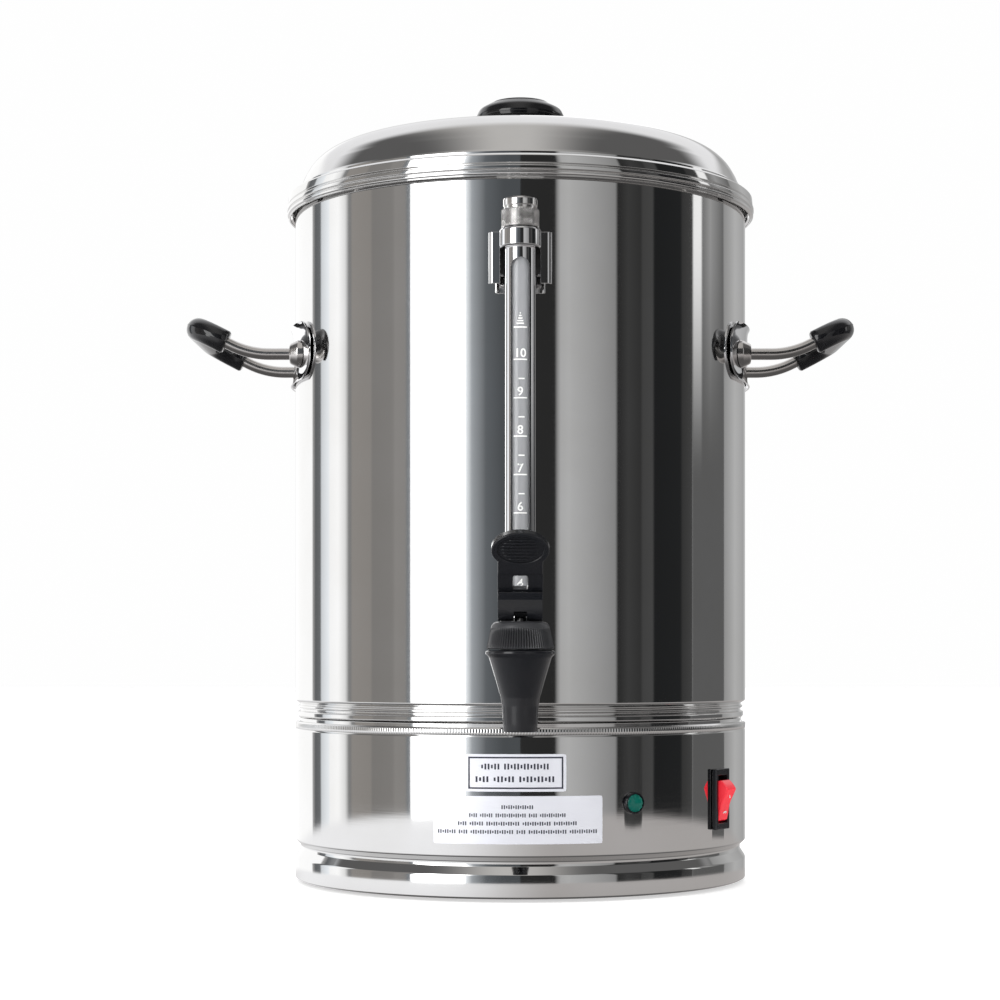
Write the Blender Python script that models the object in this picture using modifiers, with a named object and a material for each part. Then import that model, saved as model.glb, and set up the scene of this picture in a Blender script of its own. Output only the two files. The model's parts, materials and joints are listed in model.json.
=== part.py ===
"""Brew kettle: a stainless steel hot water kettle with a lift-off lid, a sight gauge and a lever tap.

Sizes are in millimetres in this file and become metres in the scene. +Z is up and the front of
the kettle, with its gauge and tap, faces -Y. The object stands on z = 0 with the middle of its
outer box at x = y = 0, so the round body's own axis stands AXIS_Y behind the origin. Every piece
hangs on the empty "kettle_axis" there, and its places are measured from that axis.
"""
import math

import bmesh
import bpy
from mathutils import Matrix, Vector

MM = 0.001
GAP = 0.35                 # free space left between pieces that touch

# Driving dimensions of the body, in millimetres.
TANK_R = 129.0             # outside radius of tank wall and base wall
WALL = 1.0                 # sheet of the tank
RIM_Z = 392.0              # top of the tank's rolled rim
FLOOR_Z = 85.0             # upper side of the tank floor
BASE_TOP_Z = 91.0          # top edge of the base shell
BASE_WALL = 1.1
LID_R = 134.0              # widest point of the lid's skirt
LID_WALL = 0.7
FOOT_SPREAD = 98.0         # distance of each foot from the axis
COVER_Z = 2.9              # underside of the bottom cover
SPREADER_Z = 76.0          # underside of the plate that spreads the heat
CLAMP_Z = 59.7             # underside of the bar that holds the thermostats

# Gauge and tap, whose axes stand in front of the body.
GAUGE_REACH = 151.0
GUARD_R = 7.75
GLASS_R = 6.0
GLASS_TOP_Z = 349.8
PORT_TOP_Z = 148.0
PORT_FLOOR_Z = 134.0
BRACKET_SCREW_Z = (324.0, 335.0)
BRACKET_LOW_Z = 319.6
BRACKET_HIGH_Z = 345.3
COLLAR_HIGH_Z = 346.2      # top of the ring that holds the guard
GUARD_TOP_Z = 350.1
CAP_LOW_Z = 346.8
TAP_REACH = 184.0
SHANK_Z = 120.0
SHANK_R = 10.0
FLANGE_R = 17.2
CROWN_Z = 145.7            # flat top of the tap's bonnet, on which the lever's cam works
PIN_Z = 150.0
CAM_LIFT = 4.6             # lift of the stem for each radian of the lever, in millimetres
LEVER_LEAN = math.radians(25)

# Handles.
HANDLE_Z = 296.5
HANDLE_HALF = 42.0         # the two arms of a handle stand this far from its middle
ROD_R = 3.25
GRIP_R = 6.75
HANDLE_RISE = math.radians(27)
HANDLE_REACH = 181.8       # distance of a handle's crossbar from the body's axis
PLATE_Z = 297.75           # middle of the plate under each handle

# Pieces set into the base wall: height, and angle to the right of the front.
SWITCH_ANGLE = math.radians(57.0)
SWITCH_Z = 50.2
LAMP_ANGLE = math.radians(27.4)
LAMP_Z = 51.0
INLET_ANGLE = math.radians(180.0)
INLET_Z = 45.0
FACE_R = TANK_R + GAP      # a flange set on the base wall starts here
ROCKER_PIVOT_R = 126.0     # distance of the rocker's axis from the body's axis
ROCKER_SWING = 12.65       # radius of the rocker's two ends about its own axis
ROCKER_THROW = math.radians(36.8)
ROCKER_CREST = 44.1        # angle of each crest from the rocker's middle, in degrees

AXIS_Y = (TAP_REACH + FLANGE_R - LID_R) / 2

BODY_STEPS = 36
RING_STEPS = 20
SMALL_STEPS = 12

FINISHES = {               # colour, roughness, metallic
    "mirror_steel": ((0.66, 0.66, 0.67), 0.08, 1.0),
    "chrome": ((0.78, 0.78, 0.80), 0.06, 1.0),
    "bright_steel": ((0.55, 0.54, 0.53), 0.25, 1.0),
    "cast_aluminium": ((0.62, 0.62, 0.63), 0.45, 1.0),
    "black_plastic": ((0.012, 0.013, 0.015), 0.22, 0.0),
    "black_grip": ((0.010, 0.010, 0.012), 0.10, 0.0),
    "glass": ((0.86, 0.90, 0.91), 0.03, 0.0),
    "rubber": ((0.025, 0.025, 0.025), 0.7, 0.0),
    "silicone": ((0.75, 0.74, 0.70), 0.5, 0.0),
    "red_lens": ((0.75, 0.02, 0.03), 0.12, 0.0),
    "green_lens": ((0.01, 0.16, 0.12), 0.10, 0.0),
    "label_foil": ((0.74, 0.75, 0.80), 0.35, 0.3),
    "element_sheath": ((0.30, 0.31, 0.27), 0.5, 1.0),
    "ceramic": ((0.80, 0.77, 0.70), 0.6, 0.0),
    "wire_brown": ((0.20, 0.07, 0.03), 0.5, 0.0),
    "wire_red": ((0.45, 0.02, 0.02), 0.5, 0.0),
    "wire_blue": ((0.03, 0.08, 0.40), 0.5, 0.0),
}


# ---------------------------------------------------------------- tools

def clear_scene():
    for obj in list(bpy.data.objects):
        bpy.data.objects.remove(obj, do_unlink=True)


def new_collection(name):
    group = bpy.data.collections.new(name)
    bpy.context.scene.collection.children.link(group)
    return group


clear_scene()
PARTS = new_collection("brew_kettle")
CUTTERS = new_collection("cutters")
MATERIALS = {}


def finish(name):
    """The material of one finish, made the first time it is asked for."""
    if name not in MATERIALS:
        colour, roughness, metallic = FINISHES[name]
        mat = bpy.data.materials.new(name)
        mat.use_nodes = True
        shader = mat.node_tree.nodes["Principled BSDF"]
        shader.inputs["Base Color"].default_value = (*colour, 1.0)
        shader.inputs["Roughness"].default_value = roughness
        shader.inputs["Metallic"].default_value = metallic
        mat.diffuse_color = (*colour, 1.0)
        MATERIALS[name] = mat
    return MATERIALS[name]


def empty(name, parent=None, spot=(0, 0, 0), turn=(0, 0, 0)):
    obj = bpy.data.objects.new(name, None)
    obj.empty_display_size = 0.02
    PARTS.objects.link(obj)
    place(obj, parent, spot, turn)
    return obj


def place(obj, parent, spot, turn=(0, 0, 0)):
    obj.parent = parent
    obj.location = Vector(spot) * MM
    obj.rotation_euler = turn


def add(name, data, look, parent, spot=(0, 0, 0), turn=(0, 0, 0)):
    """Put a mesh or curve in the scene: a cutter when look is None, else a part."""
    obj = bpy.data.objects.new(name, data)
    place(obj, parent, spot, turn)
    if look is None:
        obj.display_type = "WIRE"
        obj.hide_render = True
        CUTTERS.objects.link(obj)
    else:
        data.materials.append(finish(look))
        PARTS.objects.link(obj)
    return obj


def mesh_from(name, build):
    """A mesh made by build(bm), which works in millimetres, with its round sides smooth."""
    bm = bmesh.new()
    build(bm)
    bmesh.ops.scale(bm, vec=(MM, MM, MM), verts=bm.verts)
    mesh = bpy.data.meshes.new(name)
    bm.to_mesh(mesh)
    bm.free()
    mesh.shade_smooth()
    mesh.set_sharp_from_angle(angle=math.radians(35))
    return mesh


def block(name, low, high, look, parent):
    """A box between two corners, its origin at its middle."""
    low, high = Vector(low), Vector(high)

    def build(bm):
        bmesh.ops.create_cube(bm, size=1)
        bmesh.ops.scale(bm, vec=high - low, verts=bm.verts)

    return add(name, mesh_from(name, build), look, parent, (low + high) / 2)


def drum(name, radius, start, end, look, parent, axis="Z", centre=(0, 0), steps=RING_STEPS):
    """A cylinder along one axis from start to end, round the centre given by the other two."""
    def build(bm):
        bmesh.ops.create_cone(bm, cap_ends=True, segments=steps, radius1=radius, radius2=radius,
                              depth=end - start)

    middle = (start + end) / 2
    spot, turn = {
        "X": ((middle, centre[0], centre[1]), (0, math.pi / 2, 0)),
        "Y": ((centre[0], middle, centre[1]), (-math.pi / 2, 0, 0)),
        "Z": ((centre[0], centre[1], middle), (0, 0, 0)),
    }[axis]
    return add(name, mesh_from(name, build), look, parent, spot, turn)


def turned(name, outline, look, parent, spot=(0, 0, 0), turn=(0, 0, 0), steps=RING_STEPS):
    """A turned piece. The outline holds (radius, height) and runs down the outer side.

    An outline that starts on the axis ends on it too; any other closes on its own start.
    """
    bm = bmesh.new()
    verts = [bm.verts.new((r * MM, 0, z * MM)) for r, z in outline]
    for one, two in zip(verts, verts[1:]):
        bm.edges.new((one, two))
    if outline[0][0] > 0:
        bm.edges.new((verts[-1], verts[0]))
    mesh = bpy.data.meshes.new(name)
    bm.to_mesh(mesh)
    bm.free()
    obj = add(name, mesh, look, parent, spot, turn)
    screw = obj.modifiers.new("turn", "SCREW")
    screw.axis = "Z"
    screw.angle = math.tau
    screw.steps = screw.render_steps = steps
    screw.use_merge_vertices = True
    screw.merge_threshold = 0.00001
    screw.use_smooth_shade = True
    return obj


def inner_line(outer, wall):
    """The outer line moved in by the wall, point for point."""
    line = []
    for i, point in enumerate(outer):
        before = Vector(outer[max(i - 1, 0)])
        after = Vector(outer[min(i + 1, len(outer) - 1)])
        here = Vector(point)
        steps = [s.normalized() for s in (here - before, after - here) if s.length > 0]
        normals = [Vector((-s.y, s.x)) for s in steps]
        mean = (normals[0] + normals[-1]).normalized()
        reach = wall / max(mean.dot(normals[0]), 0.6)
        moved = here - mean * reach
        line.append((0.0 if point[0] == 0 else moved.x, moved.y))
    return line


def polar(radius, degrees):
    angle = math.radians(degrees)
    return radius * math.cos(angle), radius * math.sin(angle)


def arc(radius, start, end, count):
    """Points (x, y) on an arc round the origin from the start angle to the end angle, in degrees."""
    return [polar(radius, start + (end - start) * i / count) for i in range(count + 1)]


def path_curve(name, points, radius, sides=2, caps=True):
    """A round bar along the points, as curve data."""
    curve = bpy.data.curves.new(name, "CURVE")
    curve.dimensions = "3D"
    curve.bevel_depth = radius * MM
    curve.bevel_resolution = sides
    curve.use_fill_caps = caps
    spline = curve.splines.new("POLY")
    spline.points.add(len(points) - 1)
    for target, point in zip(spline.points, points):
        target.co = (*(Vector(point) * MM), 1.0)
    return curve


def smooth_path(points, per_span):
    """A Catmull-Rom curve through the points, with per_span steps between neighbours."""
    knots = [Vector(p) for p in points]
    ends = [knots[0] * 2 - knots[1]] + knots + [knots[-1] * 2 - knots[-2]]
    line = []
    for a, b, c, d in zip(ends, ends[1:], ends[2:], ends[3:]):
        for i in range(per_span):
            t = i / per_span
            line.append(0.5 * (2 * b + (c - a) * t + (2 * a - 5 * b + 4 * c - d) * t ** 2
                               + (3 * b - a - 3 * c + d) * t ** 3))
    return line + [knots[-1]]


def sheet_outline(name, outline, thickness, look, parent, spot, turn, holes=()):
    """A flat plate of the outline (x, y), with holes, as a mesh that can be cut or joined."""
    curve = bpy.data.curves.new(name, "CURVE")
    curve.dimensions = "2D"
    curve.fill_mode = "BOTH"
    curve.extrude = thickness / 2 * MM
    for loop in (outline, *holes):
        spline = curve.splines.new("POLY")
        spline.points.add(len(loop) - 1)
        spline.use_cyclic_u = True
        for target, (x, y) in zip(spline.points, loop):
            target.co = (x * MM, y * MM, 0, 1)
    drawn = bpy.data.objects.new(name + "_outline", curve)
    CUTTERS.objects.link(drawn)
    graph = bpy.context.evaluated_depsgraph_get()
    mesh = bpy.data.meshes.new_from_object(drawn.evaluated_get(graph))
    bpy.data.objects.remove(drawn)
    bm = bmesh.new()
    bm.from_mesh(mesh)
    bmesh.ops.remove_doubles(bm, verts=bm.verts, dist=0.000005)
    bm.to_mesh(mesh)
    bm.free()
    return add(name, mesh, look, parent, spot, turn)


def curved_plate(name, width, height, radius, thickness, look, parent, spot=(0, 0, 0),
                 turn=(0, 0, 0), columns=10):
    """A plate that lies on a cylinder, its middle at the cylinder's -Y side."""
    def build(bm):
        bmesh.ops.create_grid(bm, x_segments=columns, y_segments=2, size=0.5)
        for vert in bm.verts:
            angle = vert.co.x * width / radius
            rise = vert.co.y * height
            vert.co = (radius * math.sin(angle), -radius * math.cos(angle), rise)

    obj = add(name, mesh_from(name, build), look, parent, spot, turn)
    skin = obj.modifiers.new("thickness", "SOLIDIFY")
    skin.thickness = thickness * MM
    skin.offset = 1.0
    return obj


def combine(target, tool, operation):
    step = target.modifiers.new(tool.name, "BOOLEAN")
    step.operation = operation
    step.object = tool


def cut(target, *tools):
    for tool in tools:
        combine(target, tool, "DIFFERENCE")


def join(target, *tools):
    for tool in tools:
        combine(target, tool, "UNION")


def nut(name, bore, across, start, end, look, parent, axis="Z", centre=(0, 0)):
    """A hexagonal nut along an axis; across is the distance over its flats."""
    body = drum(name, across / math.sqrt(3), start, end, look, parent, axis, centre, steps=6)
    cut(body, drum(name + "_bore", bore, start - 1, end + 1, None, parent, axis, centre,
                   steps=SMALL_STEPS))
    return body


# ---------------------------------------------------------------- tank and base

def make_tank(axis):
    bead = [(127.4, RIM_Z - 2.2), (127.0, RIM_Z - 1.2), (127.7, RIM_Z - 0.2), (128.5, RIM_Z)]
    outer = [(TANK_R, RIM_Z - 0.8), (TANK_R, 106.2), (125.7, 101.8), (125.5, 98.4),
             (127.9, 95.8), (127.9, 92.9), (126.6, 91.4), (126.6, FLOOR_Z + 3.4),
             (122.6, FLOOR_Z - WALL), (0, FLOOR_Z - WALL)]
    tank = turned("tank", inner_line(outer, WALL)[::-1] + bead + outer, "mirror_steel", axis,
                  steps=BODY_STEPS)
    cut(tank, drum("shank_hole", SHANK_R + GAP, -140, -110, None, axis, "Y", (0, SHANK_Z)))
    for x in (-1, 1):
        for y in (-1, 1):
            cut(tank, drum("rod_hole", ROD_R + GAP, min(x * 100, x * 140), max(x * 100, x * 140),
                           None, axis, "X", (y * HANDLE_HALF, HANDLE_Z), SMALL_STEPS))
    for z in BRACKET_SCREW_Z:
        cut(tank, drum("screw_hole", 2.0 + GAP, -140, -110, None, axis, "Y", (0, z), SMALL_STEPS))


def make_base_shell(axis):
    outer = [(128.3, BASE_TOP_Z), (128.3, 87.0), (TANK_R, 85.8), (TANK_R, 25.2), (126.0, 21.4),
             (126.0, 18.4), (TANK_R, 14.8), (TANK_R, 4.8), (126.8, 1.6), (121.0, 1.5)]
    loop = outer + inner_line(outer, BASE_WALL)[::-1]
    shell = turned("base_shell", loop, "mirror_steel", axis, steps=BODY_STEPS)
    switch = empty("switch_frame", axis, (0, 0, SWITCH_Z), (0, 0, SWITCH_ANGLE))
    lamp = empty("lamp_frame", axis, (0, 0, LAMP_Z), (0, 0, LAMP_ANGLE))
    inlet = empty("inlet_frame", axis, (0, 0, INLET_Z), (0, 0, INLET_ANGLE))
    cut(shell, block("switch_hole", (-6.6, -140, -15.1), (6.6, -115, 15.1), None, switch),
        drum("lamp_hole", 4.7 + GAP, -140, -115, None, lamp, "Y", (0, 0), SMALL_STEPS),
        block("inlet_hole", (-13.9, -140, -10.2), (13.9, -115, 10.2), None, inlet))
    return switch, lamp, inlet


def make_bottom(axis):
    top = COVER_Z + 1.0
    outline = [(3.4, 10.0), (13.0, 10.0), (17.0, top), (125.4, top), (125.4, COVER_Z),
               (16.3, COVER_Z), (12.4, 9.0), (3.4, 9.0)]
    cover = turned("bottom_cover", outline, "bright_steel", axis, steps=BODY_STEPS)
    for i in range(6):
        angle = math.radians(60 * i)
        cut(cover, drum("vent", 4.0, 0, 8, None, axis, "Z",
                        (60 * math.cos(angle), 60 * math.sin(angle)), 8))
    foot = [(0, 7.6), (3.0, 7.4), (5.2, top + 0.9), (5.2, top + GAP), (4.0, top + GAP),
            (4.0, COVER_Z - GAP), (8.6, COVER_Z - GAP), (8.6, 0.8), (7.6, 0), (0, 0)]
    for i in range(4):
        angle = math.radians(45 + 90 * i)
        spot = (FOOT_SPREAD * math.cos(angle), FOOT_SPREAD * math.sin(angle))
        cut(cover, drum("foot_hole", 4.0 + GAP, 0, 8, None, axis, "Z", spot, SMALL_STEPS))
        turned("foot_%d" % (i + 1), foot, "rubber", axis, (*spot, 0), steps=SMALL_STEPS)
    drum("tie_rod", 3.0, 3.4, SPREADER_Z - GAP, "bright_steel", axis, steps=SMALL_STEPS)
    nut("cover_nut", 3.0 + GAP, 10, 5.0, 9.0 - GAP, "bright_steel", axis)


def make_heater(axis):
    plate = [(0, FLOOR_Z - WALL - GAP), (68.5, FLOOR_Z - WALL - GAP), (70, 82.4), (70, SPREADER_Z),
             (0, SPREADER_Z)]
    turned("heat_spreader", plate, "cast_aluminium", axis, steps=BODY_STEPS)
    ring = [(x, y, 71.4) for x, y in arc(50.0, 106, 434, 24)]
    left, right = Vector(ring[0]), Vector(ring[-1])
    drop = [Vector((0, 1.2, -4.5)), Vector((0, 1.8, -22))]
    path = [left + step for step in reversed(drop)] + ring + [right + step for step in drop]
    add("heating_element", path_curve("heating_element", path, 4.0), "element_sheath", axis)
    bar = block("heater_clamp", (-38, -6, CLAMP_Z), (38, 6, CLAMP_Z + 2), "bright_steel", axis)
    cut(bar, drum("clamp_hole", 3.0 + GAP, 50, 70, None, axis, steps=SMALL_STEPS))
    nut("clamp_nut", 3.0 + GAP, 10, CLAMP_Z - GAP - 5, CLAMP_Z - GAP, "bright_steel", axis)
    low, high = CLAMP_Z + 2 + GAP, SPREADER_Z - GAP
    for name, x, radius in (("thermostat", 27, 10), ("thermal_cutout", -27, 8)):
        outline = [(0, high), (radius, high), (radius, low + 6), (radius - 2.4, low + 4),
                   (radius - 2.4, low), (0, low)]
        turned(name, outline, "ceramic", axis, (x, 0, 0), steps=20)


# ---------------------------------------------------------------- electrical pieces

def make_inlet(frame):
    front = FACE_R + 2.2
    body = block("power_inlet", (-15.4, -front, -11.3), (15.4, -FACE_R, 11.3), "black_plastic",
                 frame)
    join(body, block("inlet_box", (-13.5, -FACE_R - 1, -9.8), (13.5, -111, 9.8), None, frame))
    recess = [(-12.1, -8.2), (12.1, -8.2), (12.1, 3.2), (7.2, 8.2), (-7.2, 8.2), (-12.1, 3.2)]
    depth = front + 1 - 114
    socket = sheet_outline("inlet_recess", recess, depth, None, frame,
                           (0, -(front + 1 + 114) / 2, 0), (math.pi / 2, 0, 0))
    cut(body, socket)
    for x, z in ((-7, -2), (7, -2), (0, 2)):
        join(body, block("inlet_pin", (x - 1, -128.5, z - 2), (x + 1, -113, z + 2), None, frame))


def make_switch(frame):
    front = FACE_R + 2.5
    body = block("switch_housing", (-7.5, -front, -16.5), (7.5, -FACE_R, 16.5), "black_plastic",
                 frame)
    join(body, block("switch_box", (-6.3, -FACE_R - 1, -14.8), (6.3, -104, 14.8), None, frame))
    well = ROCKER_SWING + GAP
    cut(body, block("switch_well", (-5.3, -front - 1, -well), (5.3, -108, well), None, frame))
    # The rocker's side view, (distance in front of its axis, height): two round ends and a shallow
    # valley between their crests, tipped so that the upper end stands out.
    tip = math.degrees(ROCKER_THROW) / 2
    crest, heel = ROCKER_CREST, 74.3
    side = arc(ROCKER_SWING, crest - tip, heel - tip, 4)
    side += arc(8.5, 118 - tip, 242 - tip, 1)
    side += arc(ROCKER_SWING, -heel - tip, -crest - tip, 4)
    side.append(polar(8.6, -tip))
    sheet_outline("switch_rocker", side, 9.8, "red_lens", frame, (0, -ROCKER_PIVOT_R, 0),
                  Matrix(((0, 0, -1), (-1, 0, 0), (0, 1, 0))).to_euler())


def make_lamp(frame):
    out = (math.pi / 2, 0, 0)
    bezel = [(4.95, 131.7), (5.4, 131.7), (5.8, 130.9), (5.8, FACE_R), (4.7, FACE_R), (4.7, 117),
             (3.5, 117), (3.5, 130.7), (4.95, 130.7)]
    turned("lamp_bezel", bezel, "black_plastic", frame, turn=out, steps=SMALL_STEPS)
    lens = [(0, 132.6), (2.4, 132.3), (4.1, 131.7), (4.6, 131.1), (3.15, 131.1), (3.15, 119),
            (0, 119)]
    turned("lamp_lens", lens, "green_lens", frame, turn=out, steps=SMALL_STEPS)


def make_wires(axis):
    """Three leads inside the base, from the inlet to the switch, the thermostat and the element."""
    radial = Vector((math.sin(SWITCH_ANGLE), -math.cos(SWITCH_ANGLE), 0))
    upper = Vector((0, 0, SWITCH_Z + 6))
    lower = Vector((0, 0, SWITCH_Z - 6))
    routes = {
        "wire_live": ("wire_brown", [(7, 110.5, 45), (7, 106, 45), (16, 97, 44), (46, 86, 38),
                                     (76, 52, 34), (88, 5, 36), (84, -32, 46),
                                     radial * 99 + upper, radial * 103.0 + upper]),
        "wire_switched": ("wire_red", [radial * 103.0 + lower, radial * 99 + lower,
                                       (66, -34, 50), (52, -14, 58), (43, -2, 65),
                                       (37.6, 0, 66)]),
        "wire_neutral": ("wire_blue", [(-7, 110.5, 45), (-7, 106, 45), (-10, 84, 38), (-14, 62, 36),
                                       (-15, 54, 40), (-13.8, 50.1, 48.6)]),
    }
    for name, (look, points) in routes.items():
        add(name, path_curve(name, smooth_path(points, 2), 1.2), look, axis)


def make_labels(axis):
    for name, x, z, width, height in (("label_upper", -2.4, 67.6, 53, 19.5),
                                      ("label_lower", -1.3, 43.0, 90, 25)):
        curved_plate(name, width, height, FACE_R, 0.3, "label_foil", axis, (0, 0, z),
                     (0, 0, x / TANK_R))


# ---------------------------------------------------------------- handles

def handle_path():
    """Centre line of the right handle's bar from its front end, as far as its middle."""
    bend = 48.0
    corner = 16.0
    start = 140.0
    line = [Vector((111.5, -HANDLE_HALF, HANDLE_Z)), Vector((start, -HANDLE_HALF, HANDLE_Z))]
    for i in range(1, 5):
        angle = HANDLE_RISE * i / 4
        line.append(Vector((start + bend * math.sin(angle), -HANDLE_HALF,
                            HANDLE_Z + bend * (1 - math.cos(angle)))))
    along = Vector((math.cos(HANDLE_RISE), 0, math.sin(HANDLE_RISE)))
    reach = (HANDLE_REACH - line[-1].x) / math.cos(HANDLE_RISE)
    grip_start = line[-1] + along * 2.5
    hub = line[-1] + along * (reach - corner) + Vector((0, corner, 0))
    grip = [grip_start]
    for i in range(6):
        angle = math.radians(90) * i / 5
        grip.append(hub + along * corner * math.sin(angle)
                    - Vector((0, corner * math.cos(angle), 0)))
    return line, grip


def both_halves(half):
    """The half path followed by its mirror image, so that the bar runs from end to end."""
    return half + [Vector((p.x, -p.y, p.z)) for p in reversed(half)]


def make_handle(side, axis, turn):
    frame = empty(side + "_handle_frame", axis, (0, 0, 0), (0, 0, turn))
    line, grip = handle_path()
    add(side + "_handle_rod", path_curve("rod", both_halves(line + grip), ROD_R), "bright_steel",
        frame)
    sleeve = add(side + "_handle_grip",
                 path_curve("grip", both_halves(grip), GRIP_R, sides=3, caps=False),
                 "black_grip", frame)
    skin = sleeve.modifiers.new("thickness", "SOLIDIFY")
    skin.thickness = (GRIP_R - ROD_R - GAP) * MM
    skin.offset = -1.0
    plate = curved_plate(side + "_handle_plate", 125, 32.5, TANK_R + 0.4, 0.9, "chrome", frame,
                         (0, 0, PLATE_Z), (0, 0, math.pi / 2), columns=14)
    curve = drum("saddle", TANK_R + 1.3 + GAP, 250, 340, None, frame, steps=96)
    for name, y in (("front", -HANDLE_HALF), ("rear", HANDLE_HALF)):
        if turn:
            name = {"front": "rear", "rear": "front"}[name]
        centre = (y, HANDLE_Z)
        cut(plate, drum("plate_hole", ROD_R + GAP, 110, 140, None, frame, "X", centre,
                        SMALL_STEPS))
        cone = [(ROD_R + GAP, 128.6), (5.3, 128.6), (5.9, 127.9), (7.8, 123.6), (7.8, 112),
                (ROD_R + GAP, 112)]
        ferrule = turned("%s_%s_ferrule" % (side, name), cone, "chrome", frame,
                         (0, y, HANDLE_Z), (0, math.pi / 2, 0), steps=16)
        cut(ferrule, curve)
        nut("%s_%s_nut" % (side, name), ROD_R + GAP, 10, 113, 118, "bright_steel", frame, "X",
            centre)


# ---------------------------------------------------------------- sight gauge

def make_gauge(axis):
    line = empty("gauge_axis", axis, (0, -GAUGE_REACH, 0))
    turned("gauge_glass", [(4.5, GLASS_TOP_Z), (GLASS_R, GLASS_TOP_Z),
                           (GLASS_R, PORT_FLOOR_Z + GAP), (4.5, PORT_FLOOR_Z + GAP)],
           "glass", line)
    guard = turned("gauge_guard", [(6.35, GUARD_TOP_Z), (GUARD_R, GUARD_TOP_Z), (GUARD_R, 142.3),
                                   (6.35, 142.3)], "chrome", line)
    half_slot, slot_top = 4.9, 331.0
    cut(guard, block("slot", (-half_slot, -12, 152), (half_slot, 0, slot_top - half_slot), None,
                     line),
        drum("slot_end", half_slot, -12, 0, None, line, "Y", (0, slot_top - half_slot)))
    turned("gauge_lower_seal", [(6.35, 141.9), (7.7, 141.9), (7.7, PORT_FLOOR_Z + GAP),
                                (6.35, PORT_FLOOR_Z + GAP)], "silicone", line)
    seal_low = GUARD_TOP_Z + GAP + 0.05
    turned("gauge_cap_seal", [(0, seal_low + 2.5), (7.4, seal_low + 2.5), (7.4, seal_low),
                              (0, seal_low)], "silicone", line)
    cap = [(0, 15.5), (6.6, 15.5), (8.4, 15.0), (8.75, 14.2), (8.75, 11.0), (8.2, 10.4),
           (8.2, 9.8), (9.65, 9.5), (9.65, 0), (8.1, 0), (8.1, 6.6), (0, 6.6)]
    turned("gauge_cap", [(r, CAP_LOW_Z + z) for r, z in cap], "chrome", line)
    make_bracket(axis, line)


def make_bracket(axis, line):
    back = -(TANK_R + GAP)
    web_low = 339.2
    bracket = drum("gauge_bracket", 10.6, COLLAR_HIGH_Z - 9.5, COLLAR_HIGH_Z, "chrome", line)
    web = block("bracket_web", (-11.5, back - 16, web_low), (11.5, back - 0.8, BRACKET_HIGH_Z),
                None, axis)
    plate = block("bracket_plate", (-17, back - 1.6, BRACKET_LOW_Z), (17, back, BRACKET_HIGH_Z),
                  None, axis)
    join(bracket, web, plate)
    for x in (-1, 1):
        low, high = sorted((x * 10.6, x * 17.0))
        join(bracket, block("bracket_wing", (low, back - 17, BRACKET_LOW_Z),
                            (high, back - 0.5, BRACKET_HIGH_Z), None, axis))
        low, high = sorted((x * 9.0, x * 15.4))
        cut(bracket, block("wing_hollow", (low, back - 15.4, BRACKET_LOW_Z - 2),
                           (high, back - 1.6, web_low), None, axis))
    cut(bracket, drum("guard_bore", GUARD_R + GAP, 330, 350, None, line))
    shank = [(0, 134.4), (3.0, 134.0), (3.6, 132.6), (3.6, TANK_R + 2.3), (2.0, TANK_R + 2.3),
             (2.0, 121.0), (0, 121.0)]
    for i, z in enumerate(BRACKET_SCREW_Z):
        cut(bracket, drum("bracket_hole", 2.0 + GAP, -140, -120, None, axis, "Y", (0, z),
                          SMALL_STEPS))
        turned("bracket_screw_%d" % (i + 1), shank, "bright_steel", axis, (0, 0, z),
               (math.pi / 2, 0, 0), steps=SMALL_STEPS)


# ---------------------------------------------------------------- tap

def make_tap(axis):
    line = empty("tap_axis", axis, (0, -TAP_REACH, 0))
    spout = [(6.0, 131.5), (FLANGE_R, 131.5), (FLANGE_R, 130.0), (14.4, 124), (11.7, 115),
             (9.7, 108), (9.1, 104), (8.7, 95), (8.2, 91), (6.0, 91)]
    body = turned("tap_body", spout, "black_plastic", line)
    to_port = TAP_REACH - GAUGE_REACH
    to_wall = TAP_REACH - TANK_R
    collar = to_wall - 2.6 - GAP
    join(body, drum("shank", SHANK_R, 9.0, TAP_REACH - 108, None, line, "Y", (0, SHANK_Z), 24),
         drum("port", 10.3, SHANK_Z - 1.7, PORT_TOP_Z, None, line, "Z", (0, to_port)),
         drum("collar", 13.5, collar - 4, collar, None, line, "Y", (0, SHANK_Z), 24))
    cut(body, drum("chamber", 10.9, 117, 133, None, line),
        drum("shank_bore", 6.2, 8.3, 90, None, line, "Y", (0, SHANK_Z), SMALL_STEPS),
        drum("port_bore", GUARD_R + GAP, PORT_FLOOR_Z, 160, None, line, "Z", (0, to_port)),
        drum("port_way", 4.1, SHANK_Z + 0.6, 140, None, line, "Z", (0, to_port), SMALL_STEPS))
    washer = [(SHANK_R + GAP, 2.6), (13.2, 2.6), (13.2, GAP), (SHANK_R + GAP, GAP)]
    turned("tap_washer", washer, "rubber", axis, (0, -TANK_R, SHANK_Z), (math.pi / 2, 0, 0))
    nut("tap_nut", SHANK_R + GAP, 27, -126.6, -120.6, "bright_steel", axis, "Y", (0, SHANK_Z))
    bonnet = [(4.3, CROWN_Z), (12.2, CROWN_Z), (13.9, 144.4), (14.6, 142.3), (16.8, 131.9),
              (10.5, 131.9), (10.5, 126.4), (8.9, 126.4), (8.9, 141.6), (4.3, 141.6)]
    turned("tap_bonnet", bonnet, "black_plastic", line)
    return line


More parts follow.
